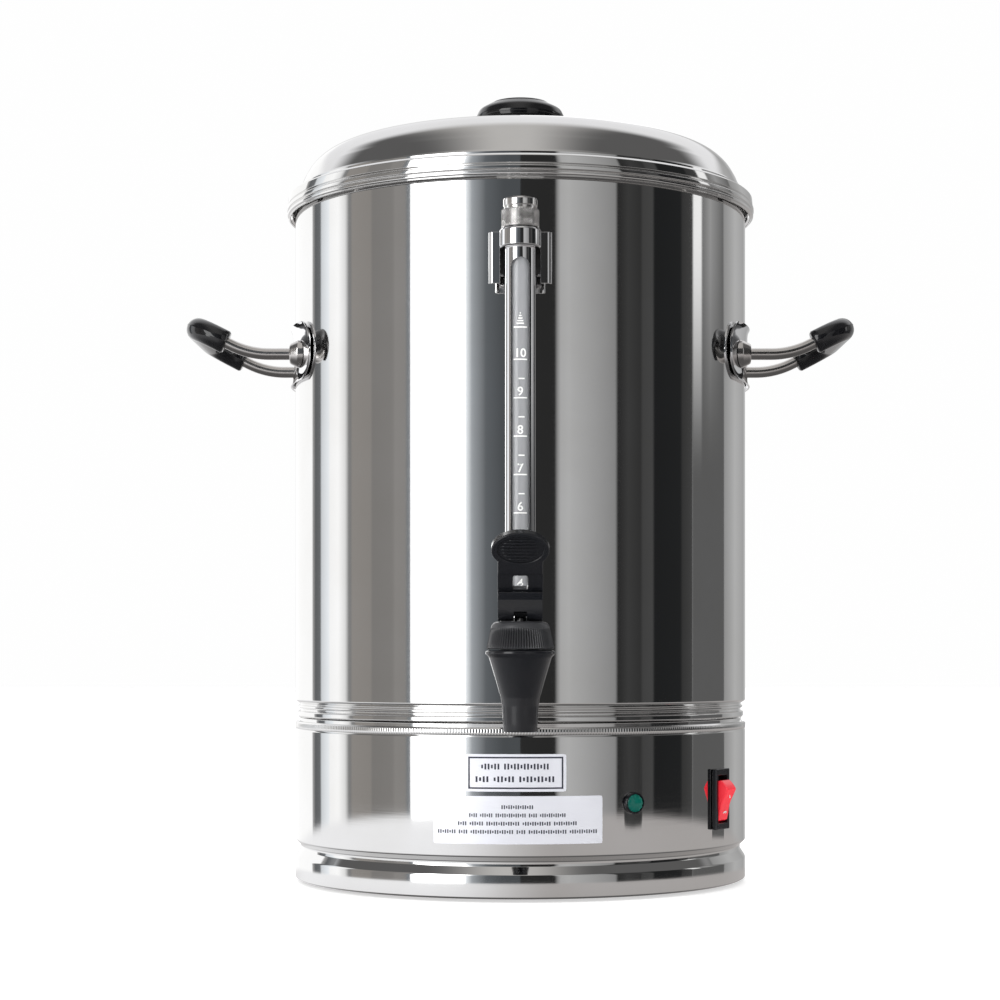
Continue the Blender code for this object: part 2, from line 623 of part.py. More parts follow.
def make_valve(line):
    stem = turned("tap_stem", [(0, PIN_Z), (2.9, PIN_Z), (2.9, 140.4), (3.9, 140.4), (3.9, 123.2),
                               (8.2, 123.2), (8.2, 121.8), (2.75, 121.8), (2.75, 119), (0, 119)],
                  "black_plastic", line, steps=SMALL_STEPS)
    join(stem, drum("stem_eye", 4.0, -2.9, 2.9, None, line, "X", (0, PIN_Z), SMALL_STEPS))
    cut(stem, drum("stem_hole", 1.8 + GAP, -5, 5, None, line, "X", (0, PIN_Z), SMALL_STEPS))
    seat = [(0, 118.6), (3.1, 118.6), (3.1, 121.45), (8.4, 121.45), (8.4, 118.2), (7.6, 117.4),
            (0, 117.4)]
    turned("tap_seat", seat, "silicone", line, steps=SMALL_STEPS)
    drum("lever_pin", 1.8, -11.0, 11.0, "black_plastic", line, "X", (0, PIN_Z), SMALL_STEPS)
    low, high, turns, per_turn = 124.1, 140.7, 4, 9
    coil = []
    for i in range(turns * per_turn + 1):
        angle = math.tau * i / per_turn
        height = low + (high - low) * i / (turns * per_turn)
        coil.append((6.3 * math.cos(angle), 6.3 * math.sin(angle), height))
    add("tap_spring", path_curve("tap_spring", coil, 0.45), "bright_steel", line)


def make_lever(line):
    """The lever, with its origin on the pin. Its ears are cams that ride on the bonnet's crown."""
    frame = empty("lever_axis", line, (0, 0, PIN_Z))
    foot = PIN_Z - CROWN_Z - 0.3
    side = [(5.0, -foot)]
    for i in range(7):
        angle = math.radians(10) * i
        reach = foot + CAM_LIFT * angle
        side.append((-reach * math.sin(angle) - CAM_LIFT * math.cos(angle),
                     -reach * math.cos(angle) + CAM_LIFT * math.sin(angle)))
    side += [(-10.2, 2.6), (-8.0, 6.4), (-7.6, 10.3), (5.4, 10.3), (6.6, 4.0), (6.4, -2.6)]
    outline = side[::-1]
    lever = sheet_outline("tap_lever", outline, 22.0, "black_plastic", frame, (0, 0, 0),
                          Matrix(((0, 0, 1), (1, 0, 0), (0, 1, 0))).to_euler())
    width, root, middle = 11.2, -1.0, 25.4
    pad_x, pad_s = 14.3, 9.4
    low = math.degrees(math.acos(width / pad_x))
    pad = [(width, root)]
    for x, y in arc(1.0, -low, 180 + low, 18):
        pad.append((pad_x * x, middle + pad_s * y))
    pad.append((-width, root))
    window = [(-3.8, 4.6), (3.8, 4.6), (3.8, 11.8), (-3.8, 11.8)]
    blade = sheet_outline("lever_blade", pad, 5.6, None, frame, (0, -1.0, 8.2),
                          (math.pi / 2 + LEVER_LEAN, 0, 0), holes=(window,))
    cut(lever, block("ear_slot", (-3.2, -16, -12), (3.2, 12, 4.4), None, frame),
        drum("pin_hole", 1.8 + GAP, -20, 20, None, frame, "X", (0, 0), SMALL_STEPS))
    join(lever, blade)


# ---------------------------------------------------------------- lid

def make_lid(axis):
    outer = [(2.8, 427.5), (40, 426.5), (62, 424.1), (84, 420.1), (104, 415.5), (114, 411.2),
             (120, 405.9), (124.0, 399.2), (125.2, 396.6), (129.6, 393.3), (131.6, 391.2),
             (133.0, 387.6), (LID_R, 383.8), (133.0, 380.2), (130.6, 377.8)]
    lid = outer + inner_line(outer, LID_WALL)[::-1]
    turned("lid", lid, "mirror_steel", axis, steps=BODY_STEPS)
    knob = [(0, 446.2), (15.0, 446.0), (18.4, 444.9), (23.0, 441.5), (25.6, 437.6),
            (24.6, 434.9), (13.0, 434.0), (10.0, 431.6), (11.6, 428.0), (2.7, 428.0),
            (2.7, 438.0), (0, 438.0)]
    turned("lid_knob", knob, "black_grip", axis, steps=24)
    screw = [(0, 436), (2.2, 436), (2.2, 426.3), (5.0, 426.3), (5.0, 424.4), (3.8, 423.2),
             (0, 423.2)]
    turned("knob_screw", screw, "bright_steel", axis, steps=SMALL_STEPS)


def main():
    axis = empty("kettle_axis", None, (0, AXIS_Y, 0))
    make_tank(axis)
    switch, lamp, inlet = make_base_shell(axis)
    make_bottom(axis)
    make_heater(axis)
    make_inlet(inlet)
    make_switch(switch)
    make_lamp(lamp)
    make_wires(axis)
    make_labels(axis)
    make_handle("right", axis, 0.0)
    make_handle("left", axis, math.pi)
    make_gauge(axis)
    line = make_tap(axis)
    make_valve(line)
    make_lever(line)
    make_lid(axis)


main()
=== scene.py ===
"""Brew kettle: the finished surfaces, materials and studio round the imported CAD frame.

Lengths are in millimetres in this file and are measured from the kettle's own upright axis, which
stands AXIS_Y behind the frame's origin. +Z is up and the front of the kettle faces -Y.
"""
import json
import math

import bmesh
import bpy
from mathutils import Matrix, Vector

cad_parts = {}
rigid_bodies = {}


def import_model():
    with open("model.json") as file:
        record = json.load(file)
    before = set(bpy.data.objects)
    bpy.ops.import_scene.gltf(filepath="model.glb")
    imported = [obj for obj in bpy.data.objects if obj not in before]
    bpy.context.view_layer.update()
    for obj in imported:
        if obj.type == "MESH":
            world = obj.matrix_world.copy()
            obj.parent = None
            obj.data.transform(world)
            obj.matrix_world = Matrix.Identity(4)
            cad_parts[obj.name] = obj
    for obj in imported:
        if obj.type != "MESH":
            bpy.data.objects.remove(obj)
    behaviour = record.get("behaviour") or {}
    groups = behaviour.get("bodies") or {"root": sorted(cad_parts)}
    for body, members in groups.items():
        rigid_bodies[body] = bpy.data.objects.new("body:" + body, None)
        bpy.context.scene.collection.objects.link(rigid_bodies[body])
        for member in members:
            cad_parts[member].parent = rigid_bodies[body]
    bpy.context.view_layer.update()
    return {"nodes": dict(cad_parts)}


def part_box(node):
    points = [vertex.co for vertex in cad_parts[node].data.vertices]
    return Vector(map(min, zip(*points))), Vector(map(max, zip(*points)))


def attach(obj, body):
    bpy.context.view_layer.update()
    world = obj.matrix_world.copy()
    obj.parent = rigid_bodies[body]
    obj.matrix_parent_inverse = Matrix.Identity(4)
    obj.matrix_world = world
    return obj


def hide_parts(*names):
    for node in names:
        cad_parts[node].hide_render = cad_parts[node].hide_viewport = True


for start_object in list(bpy.data.objects):
    bpy.data.objects.remove(start_object, do_unlink=True)
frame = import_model()

MM = 0.001
AXIS_Y = sum(corner.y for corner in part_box("tank")) / 2 / MM


# ---------------------------------------------------------------- measures read from the frame

def span(node):
    """Lowest and highest corner of a CAD node in millimetres, from the kettle's axis."""
    shift = Vector((0, AXIS_Y, 0))
    low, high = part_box(node)
    return low / MM - shift, high / MM - shift


def middle(node):
    low, high = span(node)
    return (low + high) / 2


TANK_R = span("tank")[1].x
RIM_Z = span("tank")[1].z
TANK_LOW_Z = span("tank")[0].z
BASE_TOP_Z = span("base_shell")[1].z
LID_LOW_Z = span("lid")[0].z
LID_TOP_Z = span("lid")[1].z
KNOB_R = span("lid_knob")[1].x
KNOB_Z = span("lid_knob")[0].z
GAUGE_Y = middle("gauge_glass").y
GLASS_R = span("gauge_glass")[1].x
GUARD_R = span("gauge_guard")[1].x
TAP_Y = middle("tap_bonnet").y
PIN_Z = middle("lever_pin").z
SHANK_Z = middle("tap_nut").z
HANDLE_Z = middle("right_front_ferrule").z
HANDLE_HALF = -middle("right_front_ferrule").y
SWITCH_Z = middle("switch_housing").z
LAMP_Z = middle("lamp_bezel").z
INLET_Z = middle("power_inlet").z
SWITCH_ANGLE = math.radians(57.0)
LAMP_ANGLE = math.radians(27.4)
FACE_R = TANK_R + 0.35
BRACKET_SCREWS = [middle("bracket_screw_%d" % i).z for i in (1, 2)]


# ---------------------------------------------------------------- materials

class Graph:
    """A Principled material being put together from nodes."""

    def __init__(self, name, colour, roughness, **sockets):
        self.material = bpy.data.materials.new(name)
        self.material.use_nodes = True
        self.tree = self.material.node_tree
        self.shader = self.tree.nodes["Principled BSDF"]
        self.set(self.shader, **{"Base Color": (*colour, 1.0), "Roughness": roughness}, **sockets)
        self.object_space = self.node("ShaderNodeTexCoord").outputs["Object"]

    def set(self, node, **sockets):
        for name, value in sockets.items():
            node.inputs[name.replace("_", " ") if name not in node.inputs else name].default_value = value

    def node(self, kind, **settings):
        made = self.tree.nodes.new(kind)
        for name, value in settings.items():
            setattr(made, name, value)
        return made

    def link(self, out, into):
        self.tree.links.new(out, into)

    def noise(self, scale, detail=3.0, stretch=(1, 1, 1)):
        """A noise pattern; scale is in features per metre, stretched by the three factors."""
        place = self.node("ShaderNodeMapping")
        place.inputs["Scale"].default_value = stretch
        self.link(self.object_space, place.inputs["Vector"])
        pattern = self.node("ShaderNodeTexNoise")
        self.set(pattern, Scale=scale, Detail=detail, Roughness=0.6)
        self.link(place.outputs["Vector"], pattern.inputs["Vector"])
        return pattern.outputs["Fac"]

    def spread(self, value, low, high, begin=0.3, end=0.7):
        """The value's range from begin to end, mapped to low..high."""
        ramp = self.node("ShaderNodeMapRange")
        self.set(ramp, **{"From Min": begin, "From Max": end, "To Min": low, "To Max": high})
        self.link(value, ramp.inputs["Value"])
        return ramp.outputs["Result"]

    def tint(self, value, one, two, begin=0.3, end=0.7):
        """Base colour from one to two as the value rises."""
        mix = self.node("ShaderNodeMix", data_type="RGBA")
        self.link(self.spread(value, 0.0, 1.0, begin, end), mix.inputs["Factor"])
        mix.inputs["A"].default_value = (*one, 1.0)
        mix.inputs["B"].default_value = (*two, 1.0)
        colour = next(s for s in mix.outputs if s.type == "RGBA")
        self.link(colour, self.shader.inputs["Base Color"])

    def vary_roughness(self, value, low, high):
        self.link(self.spread(value, low, high), self.shader.inputs["Roughness"])

    def bump(self, value, depth, strength=1.0):
        """Relief of the given depth in millimetres."""
        relief = self.node("ShaderNodeBump")
        self.set(relief, Strength=strength, Distance=depth * MM)
        self.link(value, relief.inputs["Height"])
        self.link(relief.outputs["Normal"], self.shader.inputs["Normal"])


def metal(name, one, two, rough, stretch, scale, depth):
    """Bare metal with a fine directional grain, faint clouds and a varying polish."""
    graph = Graph(name, one, rough[0], Metallic=1.0)
    graph.tint(graph.noise(14.0, 4.0), one, two)
    grain = graph.noise(scale, 2.0, stretch)
    graph.vary_roughness(grain, *rough)
    graph.bump(grain, depth)
    return graph.material


def moulded(name, one, two, rough, depth, **sockets):
    """Moulded plastic: nearly even colour, soft gloss changes and a faint orange peel."""
    graph = Graph(name, one, rough[0], **sockets)
    graph.tint(graph.noise(60.0, 4.0), one, two)
    graph.vary_roughness(graph.noise(35.0, 3.0), *rough)
    graph.bump(graph.noise(420.0, 2.0), depth)
    return graph.material


def knurled_look():
    """Bright steel whose knurl grooves, the points below the cap's full radius, are painted dark as shade.
    """
    graph = Graph("knurled_steel", (0.86, 0.85, 0.84), 0.16, Metallic=1.0)
    flat = graph.node("ShaderNodeVectorMath", operation="MULTIPLY")
    flat.inputs[1].default_value = (1, 1, 0)
    graph.link(graph.object_space, flat.inputs[0])
    radius = graph.node("ShaderNodeVectorMath", operation="LENGTH")
    graph.link(flat.outputs["Vector"], radius.inputs[0])
    split = graph.node("ShaderNodeSeparateXYZ")
    graph.link(graph.object_space, split.inputs["Vector"])
    full = graph.spread(radius.outputs["Value"], 0.0, 1.0, 0.00905, 0.00940)
    top = (span("gauge_cap")[0].z + 9.0) * MM
    smooth = graph.spread(split.outputs["Z"], 0.0, 1.0, top, top + 0.0002)
    either = graph.node("ShaderNodeMath", operation="MAXIMUM")
    graph.link(full, either.inputs[0])
    graph.link(smooth, either.inputs[1])
    # Painted shade: the grooves get the dark colour; the crests and the plain band above them stay bright.
    graph.tint(either.outputs[0], (0.16, 0.16, 0.16), (0.92, 0.91, 0.90), 0.0, 1.0)
    return graph.material


def make_looks():
    steel, warm = (0.80, 0.80, 0.80), (0.75, 0.745, 0.735)
    looks = {
        "mirror_steel": metal("mirror_steel", steel, warm, (0.035, 0.06), (0.04, 0.04, 2.2), 900.0, 0.0009),
        "chrome": metal("chrome", (0.86, 0.86, 0.87), (0.80, 0.80, 0.81), (0.03, 0.07), (1, 1, 1), 300.0,
                        0.0008),
        "bright_steel": metal("bright_steel", (0.72, 0.70, 0.69), (0.64, 0.62, 0.60), (0.13, 0.22),
                              (1, 1, 1), 300.0, 0.0012),
        "cast_aluminium": metal("cast_aluminium", (0.66, 0.66, 0.67), (0.52, 0.52, 0.53), (0.35, 0.55),
                                (1, 1, 1), 800.0, 0.05),
        "element_sheath": metal("element_sheath", (0.32, 0.33, 0.29), (0.20, 0.19, 0.17), (0.40, 0.60),
                                (1, 1, 1), 700.0, 0.02),
        "black_plastic": moulded("black_plastic", (0.006, 0.007, 0.009), (0.010, 0.010, 0.012),
                                 (0.12, 0.20), 0.004, IOR=1.5),
        "ribbed_plastic": moulded("ribbed_plastic", (0.030, 0.031, 0.034), (0.042, 0.042, 0.045),
                                  (0.34, 0.42), 0.004, IOR=1.6),
        "black_grip": moulded("black_grip", (0.005, 0.005, 0.006), (0.008, 0.008, 0.009), (0.05, 0.10),
                              0.003, IOR=1.55),
        "rubber": moulded("rubber", (0.020, 0.020, 0.020), (0.035, 0.034, 0.033), (0.60, 0.80), 0.03),
        "silicone": moulded("silicone", (0.72, 0.71, 0.67), (0.64, 0.62, 0.57), (0.40, 0.55), 0.01),
        "ceramic": moulded("ceramic", (0.80, 0.77, 0.70), (0.70, 0.66, 0.58), (0.45, 0.65), 0.02),
        "wire_brown": moulded("wire_brown", (0.20, 0.07, 0.03), (0.15, 0.05, 0.02), (0.35, 0.5), 0.01),
        "wire_red": moulded("wire_red", (0.45, 0.02, 0.02), (0.34, 0.015, 0.015), (0.35, 0.5), 0.01),
        "wire_blue": moulded("wire_blue", (0.03, 0.08, 0.40), (0.02, 0.06, 0.30), (0.35, 0.5), 0.01),
        # Painted glow: the rocker's red plastic gets a faint red emission, though no lamp lights it.
        "red_lens": moulded("red_lens", (0.78, 0.035, 0.05), (0.66, 0.02, 0.035), (0.08, 0.16), 0.003,
                            **{"Emission Color": (0.9, 0.02, 0.04, 1), "Emission Strength": 0.22}),
        "green_lens": moulded("green_lens", (0.004, 0.10, 0.075), (0.002, 0.06, 0.05), (0.06, 0.12), 0.003,
                              **{"Emission Color": (0.0, 0.16, 0.11, 1), "Emission Strength": 0.12}),
        "label_foil": moulded("label_foil", (0.84, 0.85, 0.91), (0.80, 0.81, 0.87), (0.36, 0.46), 0.003,
                              Metallic=0.35),
        "ink": moulded("ink", (0.020, 0.022, 0.040), (0.03, 0.03, 0.05), (0.4, 0.55), 0.002),
        "scale_ink": moulded("scale_ink", (0.90, 0.90, 0.89), (0.84, 0.84, 0.83), (0.35, 0.5), 0.002),
        "brass": metal("brass", (0.80, 0.62, 0.30), (0.70, 0.52, 0.24), (0.18, 0.30), (1, 1, 1), 400.0,
                       0.003),
    }
    glass = Graph("glass", (0.62, 0.63, 0.65), 0.02, IOR=1.47, **{"Transmission Weight": 0.55})
    glass.vary_roughness(glass.noise(40.0), 0.0, 0.03)
    looks["glass"] = glass.material
    looks["knurled_steel"] = knurled_look()
    return looks


LOOKS = make_looks()


# ---------------------------------------------------------------- mesh tools

def place(name, mesh, look, body, spot=(0, 0, 0), turn=(0, 0, 0), stands_for=()):
    """Put a mesh in the scene, riding on a CAD body and standing for CAD nodes."""
    obj = bpy.data.objects.new(name, mesh)
    bpy.context.scene.collection.objects.link(obj)
    obj.location = (Vector(spot) + Vector((0, AXIS_Y, 0))) * MM
    obj.rotation_euler = turn
    mesh.materials.clear()
    mesh.materials.append(LOOKS[look])
    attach(obj, body)
    if stands_for:
        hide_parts(*stands_for)
    return obj


def to_mesh(name, bm, sharp=32.0):
    """The mesh in metres, smooth but for edges sharper than the angle in degrees."""
    bmesh.ops.scale(bm, vec=(MM, MM, MM), verts=bm.verts)
    bmesh.ops.recalc_face_normals(bm, faces=bm.faces)
    mesh = bpy.data.meshes.new(name)
    bm.to_mesh(mesh)
    bm.free()
    mesh.shade_smooth()
    mesh.set_sharp_from_angle(angle=math.radians(sharp))
    return mesh


def rounded(points, detail=6, closed=False):
    """The outline with round corners: a point's third value is the radius of its corner."""
    line = []
    for i, point in enumerate(points):
        here = Vector(point[:2])
        inside = closed or 0 < i < len(points) - 1
        if len(point) < 3 or not inside:
            line.append(tuple(here))
            continue
        one = Vector(points[i - 1][:2]) - here
        two = Vector(points[(i + 1) % len(points)][:2]) - here
        half = one.angle(two) / 2
        reach = min(point[2] / math.tan(half), 0.49 * one.length, 0.49 * two.length)
        radius = reach * math.tan(half)
        centre = here + (one.normalized() + two.normalized()).normalized() * radius / math.sin(half)
        start = here + one.normalized() * reach - centre
        end = here + two.normalized() * reach - centre
        sweep = math.copysign(math.pi - 2 * half, start.x * end.y - start.y * end.x)
        first = math.atan2(start.y, start.x)
        for k in range(detail + 1):
            angle = first + sweep * k / detail
            line.append((centre.x + radius * math.cos(angle), centre.y + radius * math.sin(angle)))
    return line


def inner_line(outer, wall):
    """The outer line moved in by the wall, point for point."""
    line = []
    for i, point in enumerate(outer):
        here = Vector(point)
        steps = [Vector(outer[min(i + 1, len(outer) - 1)]) - here, here - Vector(outer[max(i - 1, 0)])]
        normals = [Vector((-s.y, s.x)).normalized() for s in steps if s.length > 0]
        mean = (normals[0] + normals[-1]).normalized()
        moved = here - mean * wall / max(mean.dot(normals[0]), 0.6)
        line.append((0.0 if point[0] == 0 else moved.x, moved.y))
    return line


def smooth_line(points, per_span=6):
    """A Catmull-Rom curve through the points."""
    knots = [Vector(p) for p in points]
    ends = [knots[0] * 2 - knots[1]] + knots + [knots[-1] * 2 - knots[-2]]
    line = []
    for a, b, c, d in zip(ends, ends[1:], ends[2:], ends[3:]):
        for i in range(per_span):
            t = i / per_span
            line.append(0.5 * (2 * b + (c - a) * t + (2 * a - 5 * b + 4 * c - d) * t ** 2
                               + (3 * b - a - 3 * c + d) * t ** 3))
    return line + [knots[-1]]


def lathe(name, outline, steps=96, shape=None, sharp=32.0):
    """A turned mesh. The outline holds (radius, height); shape(r, z, angle) may change a radius.

    An outline that starts on the axis ends on it too; any other closes on its own start.
    """
    bm = bmesh.new()
    poles = {k: bm.verts.new((0, 0, z)) for k, (r, z) in enumerate(outline) if r == 0}
    columns = []
    for i in range(steps):
        angle = math.tau * i / steps
        column = []
        for k, (r, z) in enumerate(outline):
            if k in poles:
                column.append(poles[k])
                continue
            reach = shape(r, z, angle) if shape else r
            column.append(bm.verts.new((reach * math.cos(angle), reach * math.sin(angle), z)))
        columns.append(column)
    spans = len(outline) - (1 if poles else 0)
    for i in range(steps):
        one, two = columns[i], columns[(i + 1) % steps]
        for k in range(spans):
            n = (k + 1) % len(outline)
            corners = list(dict.fromkeys((one[k], one[n], two[n], two[k])))
            if len(corners) > 2:
                bm.faces.new(corners)
    return to_mesh(name, bm, sharp)


def plate(name, outline, low, high, holes=(), sharp=32.0):
    """A flat plate in X and Y between two heights, with holes."""
    bm = bmesh.new()
    edges = []
    for loop in (outline, *holes):
        verts = [bm.verts.new((x, y, low)) for x, y in loop]
        edges += [bm.edges.new((verts[i - 1], verts[i])) for i in range(len(verts))]
    bmesh.ops.triangle_fill(bm, use_beauty=True, use_dissolve=False, edges=edges)
    bmesh.ops.dissolve_limit(bm, angle_limit=0.001, verts=bm.verts, edges=bm.edges)
    made = bmesh.ops.extrude_face_region(bm, geom=list(bm.faces))
    moved = [item for item in made["geom"] if isinstance(item, bmesh.types.BMVert)]
    bmesh.ops.translate(bm, vec=(0, 0, high - low), verts=moved)
    return to_mesh(name, bm, sharp)


def sweep(name, path, section, sharp=32.0):
    """A closed solid of the section (x, y) drawn along a path, its x kept level."""
    bm = bmesh.new()
    rings = []
    count = len(path)
    for i, spot in enumerate(path):
        along = (path[min(i + 1, count - 1)] - path[max(i - 1, 0)]).normalized()
        up = Vector(section_up(along))
        side = along.cross(up).normalized()
        rings.append([bm.verts.new(spot + side * x + up * y) for x, y in section(i, count)])
    for one, two in zip(rings, rings[1:]):
        for k in range(len(one)):
            bm.faces.new((one[k - 1], one[k], two[k], two[k - 1]))
    bm.faces.new(rings[0])
    bm.faces.new(rings[-1])
    return to_mesh(name, bm, sharp)


def section_up(along):
    """The direction across a handle's bar that stands square to the handle's sloping plane."""
    slope = Vector((-math.sin(HANDLE_RISE), 0, math.cos(HANDLE_RISE)))
    flat = slope - along * slope.dot(along)
    return flat.normalized()


def circle(radius, steps, centre=(0, 0)):
    return [(centre[0] + radius * math.cos(math.tau * k / steps),
             centre[1] + radius * math.sin(math.tau * k / steps)) for k in range(steps)]


def box_mesh(name, low, high):
    bm = bmesh.new()
    bmesh.ops.create_cube(bm, size=1)
    bmesh.ops.scale(bm, vec=Vector(high) - Vector(low), verts=bm.verts)
    bmesh.ops.translate(bm, vec=(Vector(low) + Vector(high)) / 2, verts=bm.verts)
    return to_mesh(name, bm)


def drum_mesh(name, radius, start, end, axis="Z", centre=(0, 0), steps=64):
    """A cylinder along one axis from start to end; centre gives its other two coordinates."""
    bm = bmesh.new()
    bmesh.ops.create_cone(bm, cap_ends=True, segments=steps, radius1=radius, radius2=radius,
                          depth=end - start)
    turn = {"X": Matrix.Rotation(math.pi / 2, 4, "Y"), "Y": Matrix.Rotation(-math.pi / 2, 4, "X"),
            "Z": Matrix.Identity(4)}[axis]
    half = (start + end) / 2
    spot = {"X": (half, *centre), "Y": (centre[0], half, centre[1]), "Z": (*centre, half)}[axis]
    bmesh.ops.transform(bm, matrix=Matrix.Translation(spot) @ turn, verts=bm.verts)
    return to_mesh(name, bm)


def combine(obj, tools, operation):
    """Cut or join meshes given in the piece's own place, and keep the result in its mesh."""
    for mesh in tools:
        tool = bpy.data.objects.new("tool", mesh)
        bpy.context.scene.collection.objects.link(tool)
        tool.matrix_world = obj.matrix_world
        step = obj.modifiers.new("shape", "BOOLEAN")
        step.operation = operation
        step.object = tool
        bpy.context.view_layer.update()
        graph = bpy.context.evaluated_depsgraph_get()
        made = bpy.data.meshes.new_from_object(obj.evaluated_get(graph))
        obj.modifiers.remove(step)
        made.shade_smooth()
        made.set_sharp_from_angle(angle=math.radians(32))
        while len(made.materials) > 1:
            made.materials.pop()
        obj.data = made
        bpy.data.objects.remove(tool, do_unlink=True)


def cut(obj, *tools):
    combine(obj, tools, "DIFFERENCE")


def join(obj, *tools):
    combine(obj, tools, "UNION")


def soften(obj, width, segments=3, angle=40.0):
    """Rounds the piece's edges by a width in millimetres."""
    edge = obj.modifiers.new("edges", "BEVEL")
    edge.width = width * MM
    edge.segments = segments
    edge.limit_method = "ANGLE"
    edge.angle_limit = math.radians(angle)
    edge.harden_normals = True
    edge.use_clamp_overlap = True


def outward(angle):
    """The turn that brings a piece made facing -Y to the given angle right of the front."""
    return (0, 0, angle)


# ---------------------------------------------------------------- tank, base and bottom

def make_tank():
    bead = [(127.4, RIM_Z - 2.2), (127.0, RIM_Z - 1.2), (127.7, RIM_Z - 0.2), (128.5, RIM_Z)]
    outer = rounded([(TANK_R, RIM_Z - 0.8), (TANK_R, 105.4), (TANK_R, 102.9, 1.4),
                     (126.0, 100.9, 0.6), (127.4, 99.9, 0.5),
                     (127.4, 99.0, 0.4), (126.2, 98.2, 0.4), (126.2, 97.3, 0.4), (127.9, 96.5, 0.7),
                     (127.9, 94.2, 0.7), (126.6, 93.0, 0.5), (126.6, 87.8, 2.0), (122.6, TANK_LOW_Z, 2.0),
                     (0, TANK_LOW_Z)])
    loop = inner_line(outer, 1.0)[::-1] + bead + outer
    tank = place("tank_shell", lathe("tank_shell", loop, 288), "mirror_steel", "root", stands_for=["tank"])
    holes = [drum_mesh("hole", 3.6, start, start + 40, "X", (y, HANDLE_Z), 32)
             for start in (-140, 100) for y in (-HANDLE_HALF, HANDLE_HALF)]
    cut(tank, drum_mesh("hole", 10.35, -140, -110, "Y", (0, SHANK_Z), 48), *holes,
        *[drum_mesh("hole", 2.35, -140, -110, "Y", (0, z), 24) for z in BRACKET_SCREWS])


def make_base():
    top = BASE_TOP_Z
    outer = rounded([(128.0, top), (128.6, top - 0.7, 0.5), (128.6, top - 4.2), (TANK_R, top - 4.9, 0.5),
                     (TANK_R, 23.9, 1.4), (126.0, 21.0, 1.0), (126.0, 18.6, 1.2), (TANK_R, 14.0, 2.4),
                     (TANK_R, 2.4, 0.7), (127.4, 1.6, 0.4), (121.0, 1.5)])
    loop = outer + inner_line(outer, 1.1)[::-1]
    base = place("base_wall", lathe("base_wall", loop, 288), "mirror_steel", "root",
                 stands_for=["base_shell"])
    facing = {"switch": (SWITCH_ANGLE, SWITCH_Z, (6.6, 15.1)), "inlet": (math.pi, INLET_Z, (13.9, 10.2))}
    for angle, z, (x, h) in facing.values():
        tool = box_mesh("opening", (-x, -140, z - h), (x, -115, z + h))
        tool.transform(Matrix.Rotation(angle, 4, "Z"))
        cut(base, tool)
    lamp = drum_mesh("opening", 5.0, -140, -115, "Y", (0, LAMP_Z), 32)
    lamp.transform(Matrix.Rotation(LAMP_ANGLE, 4, "Z"))
    cut(base, lamp)
    make_seam_teeth()


def make_seam_teeth():
    """The knurled band where the base wall is folded on to the tank."""
    teeth, per_tooth = 520, 4
    low, high = BASE_TOP_Z - 4.0, BASE_TOP_Z - 0.5
    band = [(128.2, high), (128.75, high - 0.1), (128.95, high - 0.4), (128.95, low + 0.3),
            (128.75, low), (128.2, low)]

    def notch(r, z, angle):
        return r if r < 128.9 else r + 0.13 * math.cos(teeth * angle)

    place("seam_teeth", lathe("seam_teeth", band, teeth * per_tooth, notch, 60), "mirror_steel", "root")


def make_feet():
    foot = rounded([(0, 7.4), (3.0, 7.4, 0.8), (5.2, 4.9, 0.5), (5.2, 4.3), (4.0, 4.3), (4.0, 2.5),
                    (8.6, 2.5, 0.4), (8.6, 0.8, 0.8), (7.6, 0.0, 0.6), (5.0, 0.0, 0.3), (4.2, 0.7, 0.3),
                    (0, 0.7)])
    for i in range(1, 5):
        name = "foot_%d" % i
        spot = middle(name)
        place("rubber_" + name, lathe(name, foot, 48), "rubber", "root", (spot.x, spot.y, 0),
              stands_for=[name])


# ---------------------------------------------------------------- lid

def make_lid():
    dome = smooth_line([(40, 426.5), (60, 424.3), (80, 420.7), (95, 417.6), (106, 414.9), (114, 411.2),
                        (120, 405.7), (124, 399.2)], 5)
    skirt = rounded([(124, 399.2), (126.7, 392.6, 3.0), (128.2, 390.6, 0.8), (131.4, 389.6, 0.5),
                     (132.4, 388.9, 0.2), (133.0, 388.3, 0.4), (133.3, 384.4, 0.4), (132.1, 383.7, 0.2),
                     (133.9, 383.0, 0.6), (133.9, 381.0, 0.6), (132.0, 380.3, 0.2), (133.7, 379.7, 0.4),
                     (133.5, 378.5, 0.4), (132.1, 378.0, 0.2), (132.8, 377.3, 0.3),
                     (131.6, LID_LOW_Z, 0.3), (130.5, 378.6)], 5)
    outer = [(2.8, LID_TOP_Z), (20, 427.2)] + [tuple(p) for p in dome] + skirt[1:]
    loop = outer + inner_line(outer, 0.7)[::-1]
    place("lid_dome", lathe("lid_dome", loop, 288), "mirror_steel", "lid", stands_for=["lid"])
    knob = rounded([(0, 446.2), (16.2, 446.2, 0.4), (16.9, 445.3, 0.3), (18.4, 444.9, 1.2),
                    (23.6, 442.0, 5.0),
                    (KNOB_R, 437.6, 2.6), (24.6, 434.9, 1.2), (13.5, 434.0, 1.0), (10.2, 431.4, 1.5),
                    (11.8, KNOB_Z, 0.6),
                    (2.7, KNOB_Z), (2.7, 438.0), (0, 438.0)], 8)
    place("knob", lathe("knob", knob, 128), "black_grip", "lid", stands_for=["lid_knob"])
    low = span("knob_screw")[0].z
    screw = rounded([(0, 436), (2.2, 436), (2.2, 426.3), (5.0, 426.3, 0.3), (5.0, 424.6, 0.8),
                     (3.6, low, 0.6), (0, low)])
    piece = place("knob_fixing", lathe("knob_fixing", screw, 48), "bright_steel", "lid",
                  stands_for=["knob_screw"])
    cut(piece, box_mesh("slot", (-6, -0.5, low - 1), (6, 0.5, low + 1.2)))


# ---------------------------------------------------------------- handles

HANDLE_RISE = math.radians(27)
ROD_R = 3.25
GRIP_R = 6.75
BAR_END_X = span("right_handle_grip")[1].x - GRIP_R + 0.1


